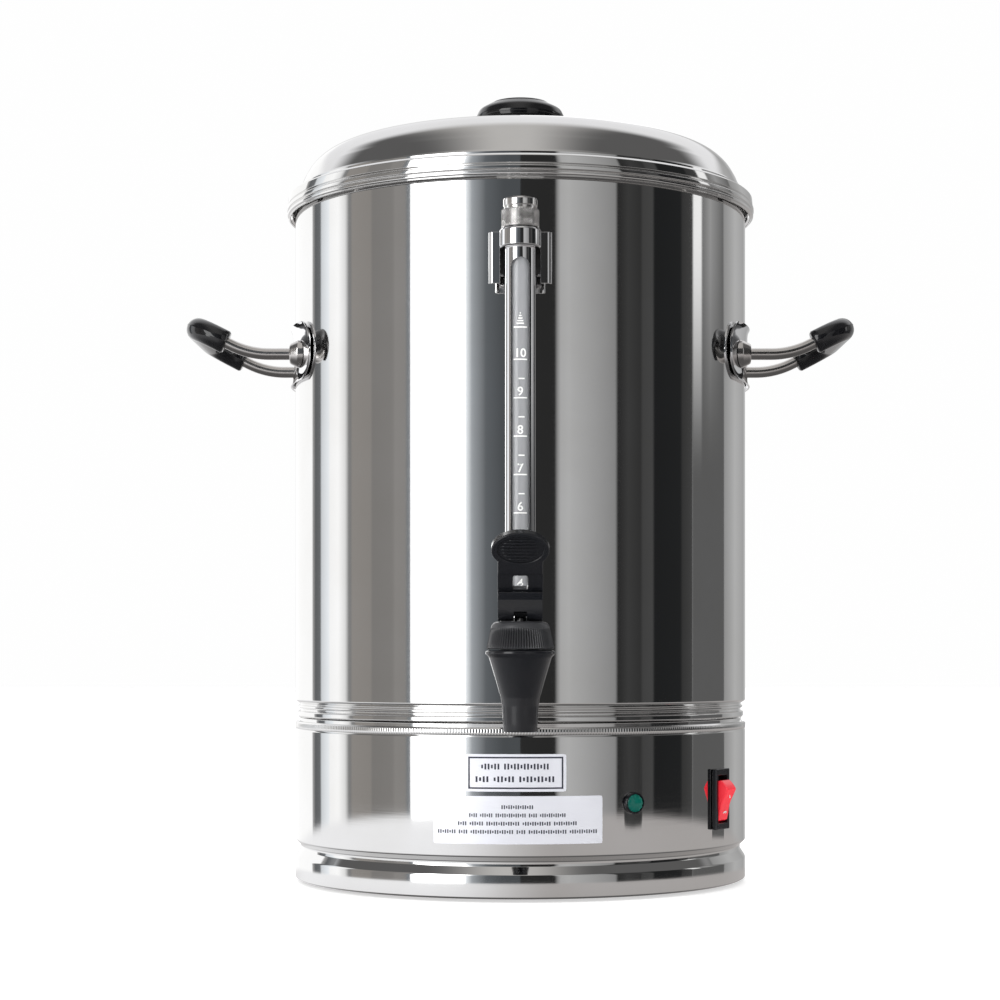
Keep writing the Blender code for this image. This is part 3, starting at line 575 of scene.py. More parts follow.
def handle_path():
    """Centre line of the right handle's bar from its front end, as far as its middle."""
    bend, corner, start = 48.0, 16.0, 140.0
    line = [Vector((111.5, -HANDLE_HALF, HANDLE_Z)), Vector((start, -HANDLE_HALF, HANDLE_Z))]
    for i in range(1, 13):
        angle = HANDLE_RISE * i / 12
        line.append(Vector((start + bend * math.sin(angle), -HANDLE_HALF,
                            HANDLE_Z + bend * (1 - math.cos(angle)))))
    along = Vector((math.cos(HANDLE_RISE), 0, math.sin(HANDLE_RISE)))
    reach = (BAR_END_X - line[-1].x) / math.cos(HANDLE_RISE)
    hub = line[-1] + along * (reach - corner) + Vector((0, corner, 0))
    grip = [line[-1] + along * 2.5, line[-1] + along * 3.4]
    for i in range(15):
        angle = math.radians(90) * i / 14
        grip.append(hub + along * corner * math.sin(angle) - Vector((0, corner * math.cos(angle), 0)))
    return line, grip


def both_halves(half):
    return half + [Vector((p.x, -p.y, p.z)) for p in reversed(half)]


def grip_section(i, count):
    """A grip's cross-section: round, with the mould's parting ridge, and eased at its two ends."""
    ease = 0.9 if i in (0, count - 1) else 1.0
    section = []
    for k in range(48):
        angle = math.tau * k / 48
        ridge = 0.22 if k % 24 == 0 else 0.0
        radius = GRIP_R * ease - 0.22 + ridge
        section.append((radius * math.cos(angle), radius * math.sin(angle)))
    return section


def make_handle(side, turn):
    line, grip = handle_path()
    rod = sweep("rod", both_halves(line + grip), lambda i, count: circle(ROD_R, 32))
    sleeve = sweep("sleeve", both_halves(grip), grip_section, 70)
    place(side + "_rod", rod, "bright_steel", "root", turn=outward(turn), stands_for=[side + "_handle_rod"])
    place(side + "_grip", sleeve, "black_grip", "root", turn=outward(turn),
          stands_for=[side + "_handle_grip"])
    make_handle_plate(side, turn)
    for front, y in ((True, -HANDLE_HALF), (False, HANDLE_HALF)):
        name = "%s_%s" % (side, "front" if front == (turn == 0) else "rear")
        cone = rounded([(3.4, 128.5), (5.3, 128.5, 0.7), (5.9, 127.6, 0.8), (7.8, 123.8, 1.6), (7.8, 112),
                        (3.4, 112)], 5)
        spot = Matrix.Rotation(turn, 4, "Z") @ Vector((0, y, HANDLE_Z))
        ferrule = place(name + "_collar", lathe("collar", cone, 64), "bright_steel", "root", spot,
                        (0, math.pi / 2, turn), stands_for=[name + "_ferrule"])
        wall = drum_mesh("wall", TANK_R + 1.6, -60, 60, steps=256)
        axis_spot = Matrix.Translation((0, AXIS_Y * MM, HANDLE_Z * MM))
        wall.transform(ferrule.matrix_world.inverted() @ axis_spot)
        cut(ferrule, wall)


def make_handle_plate(side, turn):
    """The spreader plate under a handle: round ends, and a rim that flares off the wall."""
    half_w, half_h, thick = 62.5, 16.25, 0.9
    centre_z = middle("right_handle_plate").z
    columns, rows = 96, 14
    bm = bmesh.new()
    skins = []
    for lift in (0.0, thick):
        skin = []
        for i in range(columns + 1):
            u = -1 + 2 * i / columns
            across = half_w * math.copysign(1 - (1 - abs(u)) ** 1.5, u)
            inset = max(abs(across) - (half_w - 14.0), 0.0) / 14.0
            tall = half_h * math.sqrt(max(1 - inset ** 2.2, 0.0))
            column = []
            for j in range(rows + 1):
                v = -1 + 2 * j / rows
                v = math.copysign(1 - (1 - abs(v)) ** 1.4, v)
                edge = max(abs(v), inset) ** 10
                radius = TANK_R + 0.4 + lift + 1.3 * edge
                angle = across / TANK_R
                column.append(bm.verts.new((radius * math.cos(angle), radius * math.sin(angle),
                                            centre_z + max(tall, 0.4) * v)))
            skin.append(column)
        skins.append(skin)
    for skin in skins:
        for i in range(columns):
            for j in range(rows):
                bm.faces.new((skin[i][j], skin[i + 1][j], skin[i + 1][j + 1], skin[i][j + 1]))
    inner, outer = skins
    rim = ([(i, 0) for i in range(columns)] + [(columns, j) for j in range(rows)]
           + [(i, rows) for i in range(columns, 0, -1)] + [(0, j) for j in range(rows, 0, -1)])
    for (a, b), (c, d) in zip(rim, rim[1:] + rim[:1]):
        bm.faces.new((inner[a][b], inner[c][d], outer[c][d], outer[a][b]))
    place(side + "_plate", to_mesh("plate", bm, 50), "chrome", "root", turn=outward(turn),
          stands_for=[side + "_handle_plate"])


# ---------------------------------------------------------------- sight gauge

LITRE = 19.5               # rise of the water for each litre, which sets the marks' spacing
ZERO_Z = TANK_LOW_Z + 0.2
FULL_LITRES = 10


def bent(mesh, radius, z):
    """Wraps a flat mesh in X and Y, in millimetres, on an upright cylinder's -Y side."""
    for vert in mesh.vertices:
        x, y, lift = vert.co
        reach = radius + lift
        angle = x / radius
        vert.co = (reach * math.sin(angle) * MM, -reach * math.cos(angle) * MM, (z + y) * MM)
    return mesh


def bar_mesh(name, x0, x1, height, thick=0.06):
    """A thin printed bar, cut in steps along X so that it can be bent."""
    bm = bmesh.new()
    steps = 8
    for i in range(steps):
        a, b = (x0 + (x1 - x0) * (i + k) / steps for k in (0, 1))
        verts = [bm.verts.new((x, y, z)) for z in (0, thick) for x, y in
                 ((a, -height / 2), (b, -height / 2), (b, height / 2), (a, height / 2))]
        for face in ((3, 2, 1, 0), (4, 5, 6, 7), (0, 1, 5, 4), (2, 3, 7, 6)):
            bm.faces.new([verts[k] for k in face])
        if i == 0:
            bm.faces.new([verts[k] for k in (0, 4, 7, 3)])
        if i == steps - 1:
            bm.faces.new([verts[k] for k in (1, 2, 6, 5)])
    bmesh.ops.remove_doubles(bm, verts=bm.verts, dist=0.0001)
    mesh = bpy.data.meshes.new(name)
    bm.to_mesh(mesh)
    bm.free()
    return mesh


def digit_mesh(text, size):
    """A number as a thin mesh, centred on X, its foot at zero."""
    curve = bpy.data.curves.new("digits", "FONT")
    curve.body = text
    curve.size = size
    curve.extrude = 0.03
    curve.offset = 0.11
    curve.align_x = "CENTER"
    drawn = bpy.data.objects.new("digits", curve)
    bpy.context.scene.collection.objects.link(drawn)
    graph = bpy.context.evaluated_depsgraph_get()
    mesh = bpy.data.meshes.new_from_object(drawn.evaluated_get(graph))
    bpy.data.objects.remove(drawn)
    return mesh


def join_meshes(name, meshes):
    bm = bmesh.new()
    for mesh in meshes:
        bm.from_mesh(mesh)
    mesh = bpy.data.meshes.new(name)
    bm.to_mesh(mesh)
    bm.free()
    return mesh


def make_gauge():
    low, high = span("gauge_glass")
    tube = rounded([(4.5, high.z - 0.3, 0.3), (5.0, high.z, 0.3), (5.6, high.z, 0.3),
                    (GLASS_R, high.z - 0.4, 0.3), (GLASS_R, low.z), (4.5, low.z)], 4)
    spot = (0, GAUGE_Y, 0)
    place("sight_glass", lathe("sight_glass", tube, 96), "glass", "root", spot, stands_for=["gauge_glass"])
    make_marks(spot)
    make_guard(spot)
    seal = span("gauge_lower_seal")
    ring = rounded([(6.35, seal[1].z), (7.7, seal[1].z, 0.3), (7.7, seal[0].z, 0.3), (6.35, seal[0].z)])
    place("lower_seal", lathe("lower_seal", ring, 64), "silicone", "root", spot,
          stands_for=["gauge_lower_seal"])
    make_cap(spot)
    make_bracket()


def make_marks(spot):
    """Half-litre and litre lines with numbers, and a plain line and arrow at the full mark."""
    radius = GLASS_R + 0.06
    marks = []
    for half in range(8, 2 * FULL_LITRES + 1):
        z = ZERO_Z + half * LITRE / 2
        whole = half % 2 == 0
        marks.append(bent(bar_mesh("mark", -3.6 if whole else -0.9, 3.6 if whole else 2.2, 0.7), radius, z))
        if whole:
            marks.append(bent(digit_mesh(str(half // 2), 6.2), radius + 0.04, z + 1.2))
    full = ZERO_Z + FULL_LITRES * LITRE + 16.4
    marks.append(bent(bar_mesh("mark", -3.6, 3.6, 0.8), radius, full))
    for i in range(5):
        reach = 1.9 - 0.4 * i
        marks.append(bent(bar_mesh("mark", -reach, reach, 0.7), radius, full + 1.9 + 1.3 * i))
    place("gauge_marks", join_meshes("gauge_marks", marks), "scale_ink", "root", spot)


def make_guard(spot):
    low, high = span("gauge_guard")
    wall = rounded([(6.35, high.z), (GUARD_R, high.z, 0.4), (GUARD_R, low.z), (6.35, low.z)])
    guard = place("gauge_channel", lathe("gauge_channel", wall, 96), "chrome", "root", spot,
                  stands_for=["gauge_guard"])
    half, top = 4.9, 331.0
    cut(guard, box_mesh("slot", (-half, -12, 152), (half, 0, top - half)),
        drum_mesh("slot", half, -12, 0, "Y", (0, top - half), 64))
    soften(guard, 0.7)


def knurl(pitch, around, depth, low, high):
    """A diamond knurl between two heights, cut by two sets of crossing grooves."""
    def shape(r, z, angle):
        if not low <= z <= high or r < GUARD_R:
            return r
        turns = around * angle / math.tau
        grooves = [abs((turns + sign * (z - low) / pitch) % 1.0 - 0.5) * 2 for sign in (-1, 1)]
        return r - depth * max(0.0, max(grooves) - 0.4) / 0.6
    return shape


def make_cap(spot):
    low, high = span("gauge_cap")
    base, top = low.z, high.z
    rows = 64
    knurled = [(9.65, base + 9.0 - 8.5 * i / rows) for i in range(rows + 1)]
    outline = [(0, top), (5.9, top), (6.6, top - 0.05), (7.6, top - 0.35), (8.5, top - 0.8),
               (8.75, top - 1.4), (8.75, top - 4.3), (8.55, top - 4.7), (8.1, top - 5.0),
               (8.1, top - 5.6), (8.6, top - 5.9), (9.2, base + 9.4)] + knurled
    outline += [(9.3, base + 0.2), (8.9, base), (8.1, base), (8.1, base + 6.6), (0, base + 6.6)]
    shape = knurl(1.30, 46, 0.55, base + 0.6, base + 8.9)
    cap = place("knurled_cap", lathe("knurled_cap", outline, 460, shape, 20), "knurled_steel", "cap", spot,
                stands_for=["gauge_cap"])
    seal_low, seal_high = span("gauge_cap_seal")
    disc = rounded([(0, seal_high.z), (7.4, seal_high.z, 0.4), (7.4, seal_low.z, 0.4), (0, seal_low.z)])
    place("cap_seal_disc", lathe("cap_seal_disc", disc, 64), "silicone", "cap_seal", spot,
          stands_for=["gauge_cap_seal"])


def wing_outline(sign):
    """Plan of one folded wing of the bracket: a strip that stands off the wall and turns inward."""
    back = -(TANK_R + 0.6)
    outer = rounded([(9.0, back), (16.4, back, 2.2), (16.4, back - 16.2, 2.6), (10.4, back - 16.2)], 6)
    strip = outer + inner_strip(outer, 1.1)[::-1]
    return [(sign * x, y) for x, y in strip]


def inner_strip(line, wall):
    """The line moved sideways by the wall, to the right of its direction."""
    moved = []
    for i, point in enumerate(line):
        along = Vector(line[min(i + 1, len(line) - 1)]) - Vector(line[max(i - 1, 0)])
        side = Vector((along.y, -along.x)).normalized()
        moved.append(tuple(Vector(point) + side * wall))
    return moved


def make_bracket():
    low, high = span("gauge_bracket")
    back = -(TANK_R + 0.4)
    collar = rounded([(8.1, high.z), (10.0, high.z, 0.6), (10.6, high.z - 0.9, 0.6),
                      (10.6, high.z - 8.8, 0.6), (10.0, high.z - 9.5, 0.5), (8.1, high.z - 9.5)])
    place("bracket_collar", lathe("bracket_collar", collar, 96), "chrome", "root", (0, GAUGE_Y, 0),
          stands_for=["gauge_bracket"])
    web = plate("web", rounded([(-9.4, back - 16.0), (-16.0, back - 13.0, 2.0), (-16.0, back), (16.0, back),
                                (16.0, back - 13.0, 2.0), (9.4, back - 16.0)], 4),
                high.z - 3.2, high.z - 0.6)
    web_piece = place("bracket_web", web, "chrome", "root")
    cut(web_piece, drum_mesh("bore", 10.75, 300, 360, "Z", (0, GAUGE_Y), 64))
    soften(web_piece, 0.35)
    corners = [(-16.0, low.z + 7, 1.5), (16.0, low.z + 7, 1.5),
               (16.0, high.z - 2.4, 1.5), (-16.0, high.z - 2.4, 1.5)]
    # Painted shade: the bracket's steel back gets the dark rubber look, standing for the shade and dark
    # reflection between the wings.
    sheet = plate("sheet", rounded(corners, 4, True), 0.0, 1.4)
    shade_sheet = place("bracket_back_painted_shade", sheet, "rubber", "root", (0, back, 0), (math.pi / 2, 0, 0))
    soften(shade_sheet, 0.3)
    for sign, side in ((-1, "left"), (1, "right")):
        wing = plate("wing", wing_outline(sign), low.z, high.z - 0.3)
        piece = place("bracket_%s_wing" % side, wing, "chrome", "root")
        cut(piece, box_mesh("notch", (-20, back - 14.0, low.z - 1), (20, back + 1, low.z + 6.5)))
        soften(piece, 0.3)
    for i, z in enumerate(BRACKET_SCREWS):
        head = rounded([(0, 134.3), (1.8, 134.1, 0.8), (3.4, 133.2, 0.8),
                        (3.6, TANK_R + 2.2), (2.0, TANK_R + 2.2), (2.0, 121.0), (0, 121.0)])
        screw = place("fixing_screw_%d" % (i + 1), lathe("fixing_screw", head, 48), "bright_steel", "root",
                      (0, 0, z), (math.pi / 2, 0, 0), stands_for=["bracket_screw_%d" % (i + 1)])
        cut(screw, box_mesh("slot", (-5, -0.5, 133.2), (5, 0.5, 136)),
            box_mesh("slot", (-0.5, -5, 133.2), (0.5, 5, 136)))


# ---------------------------------------------------------------- tap

def make_tap():
    spot = (0, TAP_Y, 0)
    low, high = span("tap_body")
    spout = rounded([(6.0, 131.5), (16.0, 131.5, 0.6), (high.x, 130.9, 0.7), (high.x, 129.6, 0.8),
                     (15.6, 128.0, 0.8), (14.2, 123.4, 8), (11.7, 115, 14), (9.7, 108, 8), (9.1, 104, 8),
                     (8.6, 95, 2), (8.3, low.z, 0.5), (7.3, low.z, 0.4), (6.0, low.z + 2.4, 2.0)], 5)
    body = place("tap_casting", lathe("tap_casting", spout, 96), "black_plastic", "root", spot,
                 stands_for=["tap_body"])
    to_port = GAUGE_Y - TAP_Y
    to_wall = -TANK_R - TAP_Y
    collar = to_wall - 2.95
    join(body, drum_mesh("shank", 10.0, 9.0, to_wall + 21, "Y", (0, SHANK_Z), 64),
         drum_mesh("port", 10.3, SHANK_Z - 1.7, high.z, "Z", (0, to_port), 64),
         drum_mesh("collar", 13.5, collar - 4, collar, "Y", (0, SHANK_Z), 64))
    cut(body, drum_mesh("chamber", 10.9, 117, 133, steps=64),
        drum_mesh("bore", 6.2, 8.3, 90, "Y", (0, SHANK_Z), 48),
        drum_mesh("port_bore", GUARD_R + 0.35, 134.0, 160, "Z", (0, to_port), 64),
        drum_mesh("port_way", 4.1, SHANK_Z + 0.6, 140, "Z", (0, to_port), 32))
    washer = rounded([(10.35, 2.6), (13.2, 2.6, 0.5), (13.2, 0.35, 0.5), (10.35, 0.35)])
    place("tap_gasket", lathe("tap_gasket", washer, 64), "rubber", "root", (0, -TANK_R, SHANK_Z),
          (math.pi / 2, 0, 0), stands_for=["tap_washer"])
    make_bonnet(spot)
    make_spring(spot)


def make_bonnet(spot):
    """The tap's screwed bonnet: a plain shoulder over a coarse ribbed skirt."""
    ribs, per_rib, depth = 76, 8, 1.1
    low, high = span("tap_bonnet")
    foot = low.z + 5.5
    rows = 8
    top_r, foot_r = 14.7, high.x
    skirt = [(top_r + (foot_r - top_r) * i / rows, 142.4 + (foot + 0.6 - 142.4) * i / rows)
             for i in range(rows + 1)]
    outline = [(4.3, high.z), (11.6, high.z), (12.6, high.z - 0.25), (13.6, high.z - 1.0),
               (14.3, high.z - 2.1), (14.5, 142.9)] + skirt
    outline += [(foot_r - 0.9, foot), (10.5, foot), (10.5, low.z), (8.9, low.z),
                (8.9, 141.6), (4.3, 141.6)]

    def rib(r, z, angle):
        fade = min(1.0, max(0.0, (142.3 - z) / 0.9), max(0.0, (z - foot - 0.4) / 0.7))
        if r < top_r - 0.05 or fade == 0.0:
            return r
        wave = 0.5 - 0.5 * math.cos(ribs * angle)
        return r - depth * fade * wave

    mesh = lathe("tap_cap", outline, ribs * per_rib, rib, 50)
    cap = place("tap_cap", mesh, "ribbed_plastic", "root", spot, stands_for=["tap_bonnet"])


def make_spring(spot):
    """The return spring inside the bonnet, drawn out along its helix."""
    low, high = span("tap_spring")
    turns, per_turn, wire = 4, 32, 0.45
    bottom, top = low.z + wire, high.z - wire
    path = []
    for i in range(turns * per_turn + 1):
        angle = math.tau * i / per_turn
        height = bottom + (top - bottom) * i / (turns * per_turn)
        path.append((6.3 * math.cos(angle), 6.3 * math.sin(angle), height))
    curve = bpy.data.curves.new("spring", "CURVE")
    curve.dimensions = "3D"
    curve.bevel_depth = wire * MM
    curve.bevel_resolution = 3
    curve.use_fill_caps = True
    spline = curve.splines.new("POLY")
    spline.points.add(len(path) - 1)
    for target, point in zip(spline.points, path):
        target.co = (*(Vector(point) * MM), 1.0)
    place("return_spring", curve, "bright_steel", "valve", spot, stands_for=["tap_spring"])


LEVER_LEAN = math.radians(25)
CAM_LIFT = 4.6


def make_lever():
    """The lever: two cam ears joined by a bridge, and a leaning blade with a ribbed thumb pad."""
    spot = (0, TAP_Y, PIN_Z)
    crown = span("tap_bonnet")[1].z
    foot = PIN_Z - crown - 0.3
    cam = [(5.0, -foot)]
    for i in range(13):
        angle = math.radians(5) * i
        reach = foot + CAM_LIFT * angle
        cam.append((-reach * math.sin(angle) - CAM_LIFT * math.cos(angle),
                    -reach * math.cos(angle) + CAM_LIFT * math.sin(angle)))
    side = cam + rounded([(-10.2, 2.6), (-8.0, 6.4, 1.5), (-7.6, 10.3, 0.8), (5.4, 10.3, 1.5),
                          (6.6, 4.0, 1.5), (6.4, -2.6)], 4)
    axes = Matrix(((0, 0, 1), (1, 0, 0), (0, 1, 0))).to_euler()
    cheeks = place("lever_cheeks", plate("cheeks", side[::-1], -11.0, 11.0), "black_plastic", "lever", spot,
                   axes, stands_for=["tap_lever"])
    cut(cheeks, box_mesh("slot", (-16, -12, -3.2), (12, 0.5, 3.2)),
        box_mesh("slot", (-7.2, 0.4, -3.2), (12, 4.4, 3.2)),
        drum_mesh("bore", 2.1, -20, 20, "Z", (0, 0), 32))
    soften(cheeks, 0.4)
    make_blade(spot)


def pad_outline(pad_x, pad_s, middle_s, width, root):
    low = math.acos(width / pad_x)
    points = [(width, root)]
    for i in range(41):
        angle = -low + (math.pi + 2 * low) * i / 40
        points.append((pad_x * math.cos(angle), middle_s + pad_s * math.sin(angle)))
    return points + [(-width, root)]


def make_blade(spot):
    width, root, middle_s, pad_x, pad_s = 11.2, -1.0, 25.4, 14.3, 9.4
    window = rounded([(-3.8, 4.6, 1.0), (3.8, 4.6, 1.0), (3.8, 11.8, 1.0), (-3.8, 11.8, 1.0)], 4, True)
    outline = pad_outline(pad_x, pad_s, middle_s, width, root)
    lean = (math.pi / 2 + LEVER_LEAN, 0, 0)
    blade = place("lever_blade", plate("blade", outline, -2.8, 2.0, [window]), "black_plastic", "lever",
                  Vector(spot) + Vector((0, -1.0, 8.2)), lean)
    soften(blade, 0.8, 4)
    frame_spot = Vector(spot) + Vector((0, -1.0, 8.2))
    rim_outer = pad_outline(pad_x - 0.2, pad_s - 0.2, middle_s, width - 0.2, 13.0)
    rim_inner = [(11.4 * math.cos(math.tau * i / 48), middle_s + 0.4 + 6.9 * math.sin(math.tau * i / 48))
                 for i in range(48)]
    rim = place("lever_rim", plate("rim", rim_outer, 1.6, 2.8, [rim_inner]), "black_plastic", "lever",
                frame_spot, lean)
    soften(rim, 0.5, 4)
    ribs = []
    count = 7
    for i in range(count):
        s = -5.0 + 10.0 * i / (count - 1)
        reach = 9.6 * math.sqrt(1 - (s / 6.4) ** 2)
        ribs.append(rib_mesh(reach, middle_s + 0.4 + s, 1.9, 0.55, 0.75))
    place("lever_ribs", join_meshes("lever_ribs", ribs), "black_plastic", "lever", frame_spot, lean)


def rib_mesh(reach, s, base, half, rise):
    """A grip rib with a round back, along X at the distance s up the blade."""
    bm = bmesh.new()
    rings = []
    steps = 16
    for i in range(steps + 1):
        u = -1 + 2 * i / steps
        fall = math.sqrt(max(1 - abs(u) ** 6, 0.02))
        ring = []
        for k in range(9):
            angle = math.pi * k / 8
            ring.append(bm.verts.new((u * reach, s + half * math.cos(angle) * fall,
                                      base + rise * math.sin(angle) * fall)))
        rings.append(ring)
    for one, two in zip(rings, rings[1:]):
        for k in range(9):
            bm.faces.new((one[k - 1], one[k], two[k], two[k - 1]))
    bm.faces.new(rings[0])
    bm.faces.new(rings[-1])
    return to_mesh("rib", bm, 60)


# ---------------------------------------------------------------- switch, lamp, inlet, labels

def make_switch():
    turn = outward(SWITCH_ANGLE)
    front = FACE_R + 2.5
    well = 13.0
    spot = (0, 0, SWITCH_Z)
    house = place("switch_frame", box_mesh("frame", (-7.5, -front, -16.5), (7.5, -FACE_R, 16.5)),
                  "black_plastic", "root", spot, turn, stands_for=["switch_housing"])
    join(house, box_mesh("box", (-6.3, -FACE_R - 1, -14.8), (6.3, -104, 14.8)))
    cut(house, box_mesh("well", (-5.3, -front - 1, -well), (5.3, -108, well)))
    soften(house, 0.45)
    make_rocker(spot, turn)


def make_rocker(spot, turn):
    """The rocker: two round ends and a shallow valley between their crests, its upper end out."""
    pivot, swing, tip, crest, heel, valley = 126.0, 12.65, 18.4, 44.1, 74.3, 8.0
    side = [polar(swing, crest - tip + (heel - crest) * i / 10) for i in range(11)]
    side += [polar(8.5, 118 - tip), polar(8.5, 242 - tip)]
    side += [polar(swing, -heel - tip + (heel - crest) * i / 10) for i in range(11)]
    for i in range(1, 8):
        share = i / 8
        angle = -crest - tip + 2 * crest * share
        edge = swing * math.cos(math.radians(crest)) / math.cos(math.radians(angle + tip))
        dip = (swing * math.cos(math.radians(crest)) - valley) * math.sin(math.pi * share)
        side.append(polar(edge - dip, angle))
    axes = Matrix(((0, 0, -1), (-1, 0, 0), (0, 1, 0)))
    round_wall = Matrix.Rotation(turn[2], 3, "Z")
    full = (round_wall @ axes).to_euler()
    place_spot = round_wall @ Vector((0, -pivot, 0)) + Vector(spot)
    # The rocker key takes the red look with its painted glow.
    rocker = place("rocker_key", plate("rocker", side, -4.9, 4.9), "red_lens", "rocker", place_spot, full,
                   stands_for=["switch_rocker"])
    soften(rocker, 0.5, 4, 30)
    for name, sign, ring in (("off", -1, True), ("on", 1, False)):
        angle = math.radians(sign * 30.0 - tip)
        reach = swing * math.cos(math.radians(crest)) / math.cos(math.radians(30.0)) - 0.75
        if ring:
            mark = lathe("mark", [(1.3, 0), (1.3, 0.5), (0.9, 0.5), (0.9, 0)][::-1], 32)
        else:
            mark = box_mesh("mark", (-0.22, -1.3, 0), (0.22, 1.3, 0.5))
        lie = round_wall @ Matrix.Rotation(math.pi / 2 - angle, 3, "X")
        offset = round_wall @ Vector((0, -reach * math.cos(angle), reach * math.sin(angle)))
        place("rocker_%s_mark" % name, mark, "scale_ink", "rocker", place_spot + offset, lie.to_euler())


def polar(radius, degrees):
    angle = math.radians(degrees)
    return radius * math.cos(angle), radius * math.sin(angle)


def make_lamp():
    turn = (math.pi / 2, 0, LAMP_ANGLE)
    spot = (0, 0, LAMP_Z)
    bezel = rounded([(4.9, 131.6), (5.3, 131.6, 0.25), (5.75, 130.9, 0.4), (5.75, FACE_R), (4.7, FACE_R),
                     (4.7, 117), (3.5, 117), (3.5, 130.7), (4.9, 130.7)])
    place("lamp_ring", lathe("lamp_ring", bezel, 64), "black_plastic", "root", spot, turn,
          stands_for=["lamp_bezel"])

    def facet(r, z, angle):
        return r if z < 131.2 or r > 4.5 else r * (1 + 0.04 * math.cos(12 * angle))

    lens = [(0, 132.6), (0.8, 132.58), (1.6, 132.5), (2.6, 132.3), (3.4, 132.05), (4.1, 131.7),
            (4.5, 131.35), (4.6, 131.1), (3.15, 131.1), (3.15, 119), (0, 119)]
    place("lamp_glass", lathe("lamp_glass", lens, 96, facet), "green_lens", "root", spot, turn,
          stands_for=["lamp_lens"])


def make_inlet():
    turn = outward(math.pi)
    spot = (0, 0, INLET_Z)
    front = FACE_R + 2.2
    body = place("inlet_housing", box_mesh("flange", (-15.4, -front, -11.3), (15.4, -FACE_R, 11.3)),
                 "black_plastic", "root", spot, turn, stands_for=["power_inlet"])
    join(body, box_mesh("box", (-13.5, -FACE_R - 1, -9.8), (13.5, -111, 9.8)))
    recess = rounded([(-12.1, -8.2, 1.2), (12.1, -8.2, 1.2), (12.1, 3.2, 1.0), (7.2, 8.2, 1.0),
                      (-7.2, 8.2, 1.0), (-12.1, 3.2, 1.0)], 4, True)
    hollow = plate("recess", recess, 114.0, front + 2)
    hollow.transform(Matrix.Rotation(math.pi / 2, 4, "X"))
    cut(body, hollow)
    soften(body, 0.4)
    for i, (x, z) in enumerate(((-7, -2), (7, -2), (0, 2))):
        blade = box_mesh("pin", (-1, -128.5, -2), (1, -113, 2))
        pin = place("inlet_pin_%d" % (i + 1), blade, "brass", "root", (-x, 0, INLET_Z + z), turn)
        soften(pin, 0.4)


LABEL_LIFT, LABEL_THICK = 0.42, 0.25


def label_piece(name, node, x, z, width, height):
    """A thin plate that lies on the base wall, with round corners."""
    corner = 0.8
    bm = bmesh.new()
    bmesh.ops.create_grid(bm, x_segments=int(width / 1.5), y_segments=int(height / 1.5), size=0.5)
    bmesh.ops.scale(bm, vec=(width, height, 1), verts=bm.verts)
    for vert in bm.verts:
        over_x = max(abs(vert.co.x) - (width / 2 - corner), 0)
        over_y = max(abs(vert.co.y) - (height / 2 - corner), 0)
        reach = math.hypot(over_x, over_y)
        if min(over_x, over_y) > 0.1 and reach > corner:
            vert.co.x = math.copysign(width / 2 - corner + over_x * corner / reach, vert.co.x)
            vert.co.y = math.copysign(height / 2 - corner + over_y * corner / reach, vert.co.y)
    made = bmesh.ops.extrude_face_region(bm, geom=list(bm.faces))
    moved = [item for item in made["geom"] if isinstance(item, bmesh.types.BMVert)]
    bmesh.ops.translate(bm, vec=(0, 0, LABEL_THICK), verts=moved)
    bmesh.ops.recalc_face_normals(bm, faces=bm.faces)
    mesh = bpy.data.meshes.new(name)
    bm.to_mesh(mesh)
    bm.free()
    bent(mesh, TANK_R + LABEL_LIFT, z)
    mesh.shade_smooth()
    mesh.set_sharp_from_angle(angle=math.radians(32))
    return place(name, mesh, "label_foil", "root", turn=outward(x / TANK_R), stands_for=[node])


def printed(name, bars, x, z):
    """Printed bars (x0, x1, y, height) on a label, each bent to the wall."""
    lift = LABEL_LIFT + LABEL_THICK + 0.03
    meshes = [bent(offset_mesh(bar_mesh("bar", x0, x1, height), y), TANK_R + lift, z)
              for x0, x1, y, height in bars]
    place(name, join_meshes(name, meshes), "ink", "root", turn=outward(x / TANK_R))


def offset_mesh(mesh, y):
    mesh.transform(Matrix.Translation((0, y, 0)))
    return mesh


def words(y, height, half, lengths):
    """A line of plain strokes grouped like words, centred, with no lettering."""
    pitch = 2 * half / (2 * sum(lengths) + len(lengths) - 1)
    bars, x = [], -half
    for length in lengths:
        for stroke in range(2 * length):
            tall = height if (stroke + length) % 3 else 0.62 * height
            bars.append((x, x + 0.52 * pitch, y, tall))
            x += pitch
        x += pitch
    return bars


def make_labels():
    ux, uz, uw, uh = -2.4, middle("label_upper").z, 53.0, 19.5
    lx, lz, lw, lh = -1.3, middle("label_lower").z, 90.0, 25.0
    label_piece("upper_label", "label_upper", ux, uz, uw, uh)
    label_piece("lower_label", "label_lower", lx, lz, lw, lh)
    bx, by, line = uw / 2 - 1.6, uh / 2 - 1.8, 0.8
    border = [(-bx, bx, by, line), (-bx, bx, -by, line), (-bx, -bx + line, 0, 2 * by),
              (bx - line, bx, 0, 2 * by)]
    printed("upper_print", border + words(3.3, 3.0, 18, (3, 7)) + words(-3.3, 3.0, 21, (2, 3, 5)), ux, uz)
    lines = (words(6.8, 2.0, 8.5, (7,)) + words(2.5, 2.0, 25.5, (2, 3, 7, 2, 6))
             + words(-1.8, 2.0, 31.5, (2, 3, 7, 6, 5)) + words(-6.1, 2.0, 42.5, (4, 2, 9, 2, 8, 6)))
    printed("lower_print", lines, lx, lz)


# ---------------------------------------------------------------- carried CAD nodes

CARRIED = {
    "bright_steel": ["bottom_cover", "tie_rod", "cover_nut", "heater_clamp", "clamp_nut", "tap_nut",
                     "left_front_nut", "left_rear_nut", "right_front_nut", "right_rear_nut"],
    "cast_aluminium": ["heat_spreader"], "element_sheath": ["heating_element"],
    "ceramic": ["thermostat", "thermal_cutout"], "silicone": ["tap_seat"],
    "black_plastic": ["tap_stem", "lever_pin"],
    "wire_brown": ["wire_live"], "wire_red": ["wire_switched"], "wire_blue": ["wire_neutral"],
}


